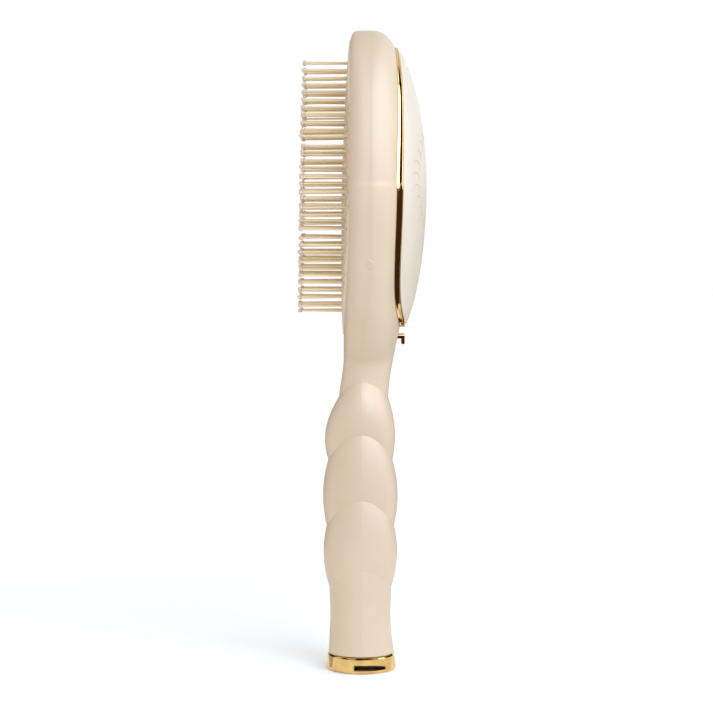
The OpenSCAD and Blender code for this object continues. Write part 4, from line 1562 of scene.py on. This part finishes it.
@dataclass
class ReleaseTab:
    """The small gold L on the neck, with its slider and nose inside the shell."""

    finishes: Finishes
    arm_w: float = 7.0
    arm_t: float = 1.5
    leg_t: float = 1.3
    leg_len: float = 3.6
    slider_w: float = 9.0
    slider_t: float = 2.4
    slider_rise: float = 1.2
    nose_w: float = 5.0
    nose_t: float = 1.6
    arm_over: float = 5.3
    edge_r: float = 0.26
    sharp: float = 40.0

    def bar(self, skin: Skin, width: float, outline: list[Plan]) -> None:
        """Add a bar across the brush.

        Args:
            skin: The mesh that it joins.
            width: Its width.
            outline: Its section in Y and Z.
        """
        ends = [[(x, y, z) for y, z in outline] for x in (-width / 2, width / 2)]
        skin.net(ends, closed=True)
        skin.cap(ends[0])
        skin.cap(ends[1])

    def build(self) -> None:
        """Make the tab."""
        low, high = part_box("release_catch")
        front, back, bottom, top = (v / MM for v in (low.y, high.y, low.z, high.z))
        arm = bottom + self.arm_over
        arm_top, inner = arm + self.arm_t, front + self.slider_t
        leg, foot = back - self.leg_t, arm_top - self.leg_len
        slider_top, nose = arm_top + self.slider_rise, front + self.nose_t
        skin = Skin()
        self.bar(skin, self.arm_w, [(inner, arm), (leg, arm), (leg, foot), (back, foot), (back, arm_top),
                                    (inner, arm_top)])
        self.bar(skin, self.slider_w, [(front, bottom), (inner, bottom), (inner, slider_top), (front, slider_top)])
        self.bar(skin, self.nose_w, [(front, slider_top), (nose, slider_top), (nose, top), (front, top)])
        mesh = skin.mesh("release_tab", self.sharp, self.edge_r)
        finish_piece("release_tab", mesh, [self.finishes.gold.material()], Body.CATCH, Slot.GOLD, "release_catch")


@dataclass
class CatchSpring:
    """The small coil under the catch's slider, which shortens as the tab is drawn down."""

    finishes: Finishes
    curls: int = 4
    wire_r: float = 0.22
    steps: int = 24
    sides: int = 12
    travel: float = 2.0
    sharp: float = 50.0

    def coil(self, middle: Plan, foot: float, curl_r: float, length: float) -> Skin:
        """Wind the coil.

        Args:
            middle: The coil's axis in X and Y.
            foot: Height of its lower end.
            curl_r: Radius of a curl, to the middle of the wire.
            length: Length of the coil.

        Returns:
            Its shape.
        """
        skin = Skin()
        rings = []
        for i in range(self.curls * self.steps + 1):
            a = 2 * math.pi * i / self.steps
            rise = foot + self.wire_r + (length - 2 * self.wire_r) * i / self.curls / self.steps
            rings.append([(middle[0] + (curl_r + self.wire_r * math.cos(b)) * math.cos(a),
                           middle[1] + (curl_r + self.wire_r * math.cos(b)) * math.sin(a),
                           rise + self.wire_r * math.sin(b)) for b in full_turn(self.sides)])
        skin.net(rings, closed=True)
        skin.cap(rings[0])
        skin.cap(rings[-1])
        return skin

    def build(self) -> None:
        """Make the spring and give the piece a mesh of its own."""
        low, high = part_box("catch_spring")
        middle, length = (low + high) / 2, (high.z - low.z) / MM
        coil = self.coil((middle.x / MM, middle.y / MM), low.z / MM, (high.x - low.x) / 2 / MM - self.wire_r, length)
        piece = finish_piece("catch_coil", coil.mesh("catch_coil", self.sharp), [self.finishes.spring.material()],
                             Body.HANDLE, Slot.SPRING, "catch_spring")
        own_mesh(piece)


@dataclass
class InnerParts:
    """The parts inside the brush, which keep their CAD shapes and get their finishes."""

    finishes: Finishes
    nylon: tuple[str, ...] = ("cushion_retainer", "cap_plug", "catch_guide", "plate_frame", "pin_carrier")
    wire: tuple[str, ...] = ("upper_spring", "lower_spring")
    screws: tuple[str, ...] = ("guide_screws", "carrier_screws")

    def build(self) -> None:
        """Dress the nodes."""
        groups = ((self.nylon, self.finishes.inner), (self.wire, self.finishes.spring),
                  (self.screws, self.finishes.screw))
        for names, finish in groups:
            material = finish.material()
            for name in names:
                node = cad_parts[name]
                for holder in node.material_slots:
                    holder.link = "OBJECT"
                    holder.material = material
                log.info("%s keeps its CAD shape with %s", name, material.name)


# Studio


@dataclass(frozen=True)
class Card:
    """A curved sheet that stands round the brush and shows in reflections alone.

    Its turns are degrees from +X towards +Y, and each of its rows has a reach from the handle's axis and a height.
    """

    name: str
    turns: Span
    rows: tuple[Span, ...]
    glow: float
    hue: Colour = (1, 1, 1)


BOWL_ROWS = ((34, 40), (150, 50), (260, 80), (300, 184))
BOWL_BROWN = (1.0, 0.5, 0.35)
CARDS = (
    Card("front_card", (-100, 4), ((900, 200), (900, 1600)), 0.02),
    Card("soft_window", (4, 100), ((850, 200), (850, 1200)), 5.0),
    Card("side_window", (100, 160), ((850, 100), (850, 1200)), 1.4),
    Card("cap_shade", (-24, 86), ((200, 3), (200, 36)), 0.0),
    Card("top_card", (-40, 85), ((250, 550), (250, 3000)), 0.0),
    Card("left_dusk", (-178, -118), ((900, 0), (900, 800)), 0.25),
    Card("back_dusk", (105, 150), ((120, 40), (120, 112)), 0.0),
    Card("cap_dusk", (-150, -92), ((30, 0.2), (30, 12)), 0.55),
    Card("dark_bowl_near", (-65, 65), BOWL_ROWS, 0.05, BOWL_BROWN),
    Card("dark_bowl_far", (115, 245), BOWL_ROWS, 0.05, BOWL_BROWN),
)


@dataclass(frozen=True)
class Sun:
    """The soft main light: its turn from +X towards +Y, rise and apparent width in degrees, power and colour."""

    turn: float = 34.0
    rise: float = 36.0
    softness: float = 40.0
    strength: float = 1.25
    colour: Colour = (0.8, 1.0, 1.3)
    distance: float = 2.0

    def build(self) -> None:
        """Hang the light."""
        lamp = bpy.data.lights.new("main_light", "SUN")
        lamp.energy = self.strength
        lamp.angle = math.radians(self.softness)
        lamp.color = self.colour
        holder = bpy.data.objects.new("main_light", lamp)
        bpy.context.scene.collection.objects.link(holder)
        a, b = math.radians(self.turn), math.radians(self.rise)
        toward = Vector((math.cos(a) * math.cos(b), math.sin(a) * math.cos(b), math.sin(b)))
        holder.location = toward * self.distance
        holder.rotation_euler = toward.to_track_quat("Z", "Y").to_euler()


@dataclass
class Studio:
    """Pale floor, soft lights, reflection cards and the camera."""

    floor_r: float = 1600.0
    floor_sides: int = 64
    columns: int = 24
    sheet_grid: float = 0.01
    sheet_sharp: float = 30.0
    matt: float = 0.9
    camera_place: Point = (0.85, -0.0018, 0.18)
    camera_aim: Point = (0.0, -0.0018, 0.1264)
    camera_shift: float = -0.03
    lens: float = 114.4
    sensor: float = 36.0
    floor_tone: Colour = (0.93, 0.93, 0.93)
    floor_glow: float = 0.11
    sky_rise: Span = (0.35, 0.8)
    sky_light: Span = (1.0, 0.7)

    def sheet(self, name: str, skin: Skin, tone: Colour, glow: float, hue: Colour = (1, 1, 1)) -> bpy.types.Object:
        """Lay out a plain sheet of the set.

        Args:
            name: Its name.
            skin: Its shape.
            tone: Its colour.
            glow: How much it shines of itself.
            hue: The colour it shines in.

        Returns:
            The sheet.
        """
        mesh = skin.mesh(name, self.sheet_sharp)
        piece = bpy.data.objects.new(name, mesh)
        bpy.context.scene.collection.objects.link(piece)
        wiring = Wiring.start(name)
        for socket, value in (("Base Color", (*tone, 1)), ("Roughness", self.matt), ("Specular IOR Level", 0.0),
                              ("Emission Color", (*hue, 1)), ("Emission Strength", glow)):
            wiring.shader.inputs[socket].default_value = value
        mesh.materials.append(wiring.material)
        return piece

    def floor(self) -> None:
        """Make the floor."""
        skin = Skin(grid=self.sheet_grid)
        skin.cap([(self.floor_r * math.cos(a), self.floor_r * math.sin(a), 0.0) for a in full_turn(self.floor_sides)])
        self.sheet("studio_floor", skin, self.floor_tone, self.floor_glow)

    def stand(self, card: Card) -> None:
        """Stand a card in its place."""
        low, high = card.turns
        angles = [math.radians(low + (high - low) * k / self.columns) for k in range(self.columns + 1)]
        skin = Skin(grid=self.sheet_grid)
        skin.net([[(reach * math.cos(a), reach * math.sin(a), height) for a in angles] for reach, height in card.rows])
        piece = self.sheet(card.name, skin, (0.0, 0.0, 0.0), card.glow, card.hue)
        piece.visible_camera = piece.visible_shadow = piece.visible_diffuse = False

    def backdrop(self) -> None:
        """Set the pale surroundings."""
        world = bpy.data.worlds.new("studio surroundings")
        world.use_nodes = True
        tree = world.node_tree
        back = tree.nodes["Background"]
        back.inputs["Color"].default_value = (1, 1, 1, 1)
        place, parts, ramp = (tree.nodes.new(kind) for kind in
                              ("ShaderNodeTexCoord", "ShaderNodeSeparateXYZ", "ShaderNodeMapRange"))
        set_ramp(ramp, self.sky_rise, self.sky_light)
        tree.links.new(place.outputs["Generated"], parts.inputs["Vector"])
        tree.links.new(parts.outputs["Z"], ramp.inputs["Value"])
        tree.links.new(ramp.outputs["Result"], back.inputs["Strength"])
        bpy.context.scene.world = world
        bpy.context.scene.view_settings.view_transform = "Standard"

    def camera(self) -> None:
        """Set the camera at the photograph's viewing angle."""
        data = bpy.data.cameras.new("camera")
        data.lens = self.lens
        data.sensor_width = self.sensor
        data.shift_y = self.camera_shift
        holder = bpy.data.objects.new("camera", data)
        bpy.context.scene.collection.objects.link(holder)
        place, aim = Vector(self.camera_place), Vector(self.camera_aim)
        holder.location = place
        holder.rotation_euler = (aim - place).to_track_quat("-Z", "Y").to_euler()
        bpy.context.scene.camera = holder

    def build(self) -> None:
        """Set up the studio."""
        self.floor()
        self.backdrop()
        self.camera()
        for card in CARDS:
            self.stand(card)
        Sun().build()


def main() -> None:
    """Build the brush piece by piece, then the studio round it."""
    logging.basicConfig(level=logging.INFO, format="%(name)s: %(message)s")
    form, pins, finishes = Form(), PinField(), Finishes()
    for part in (Shell(form, finishes), Cushion(form, pins, finishes), Pins(form, pins, finishes),
                 TrimRing(form, finishes), DomedCover(form, finishes), EndCap(form, finishes),
                 ReleaseTab(finishes), CatchSpring(finishes), InnerParts(finishes), Studio()):
        log.info("building %s", type(part).__name__)
        part.build()


if __name__ == "__main__":
    main()
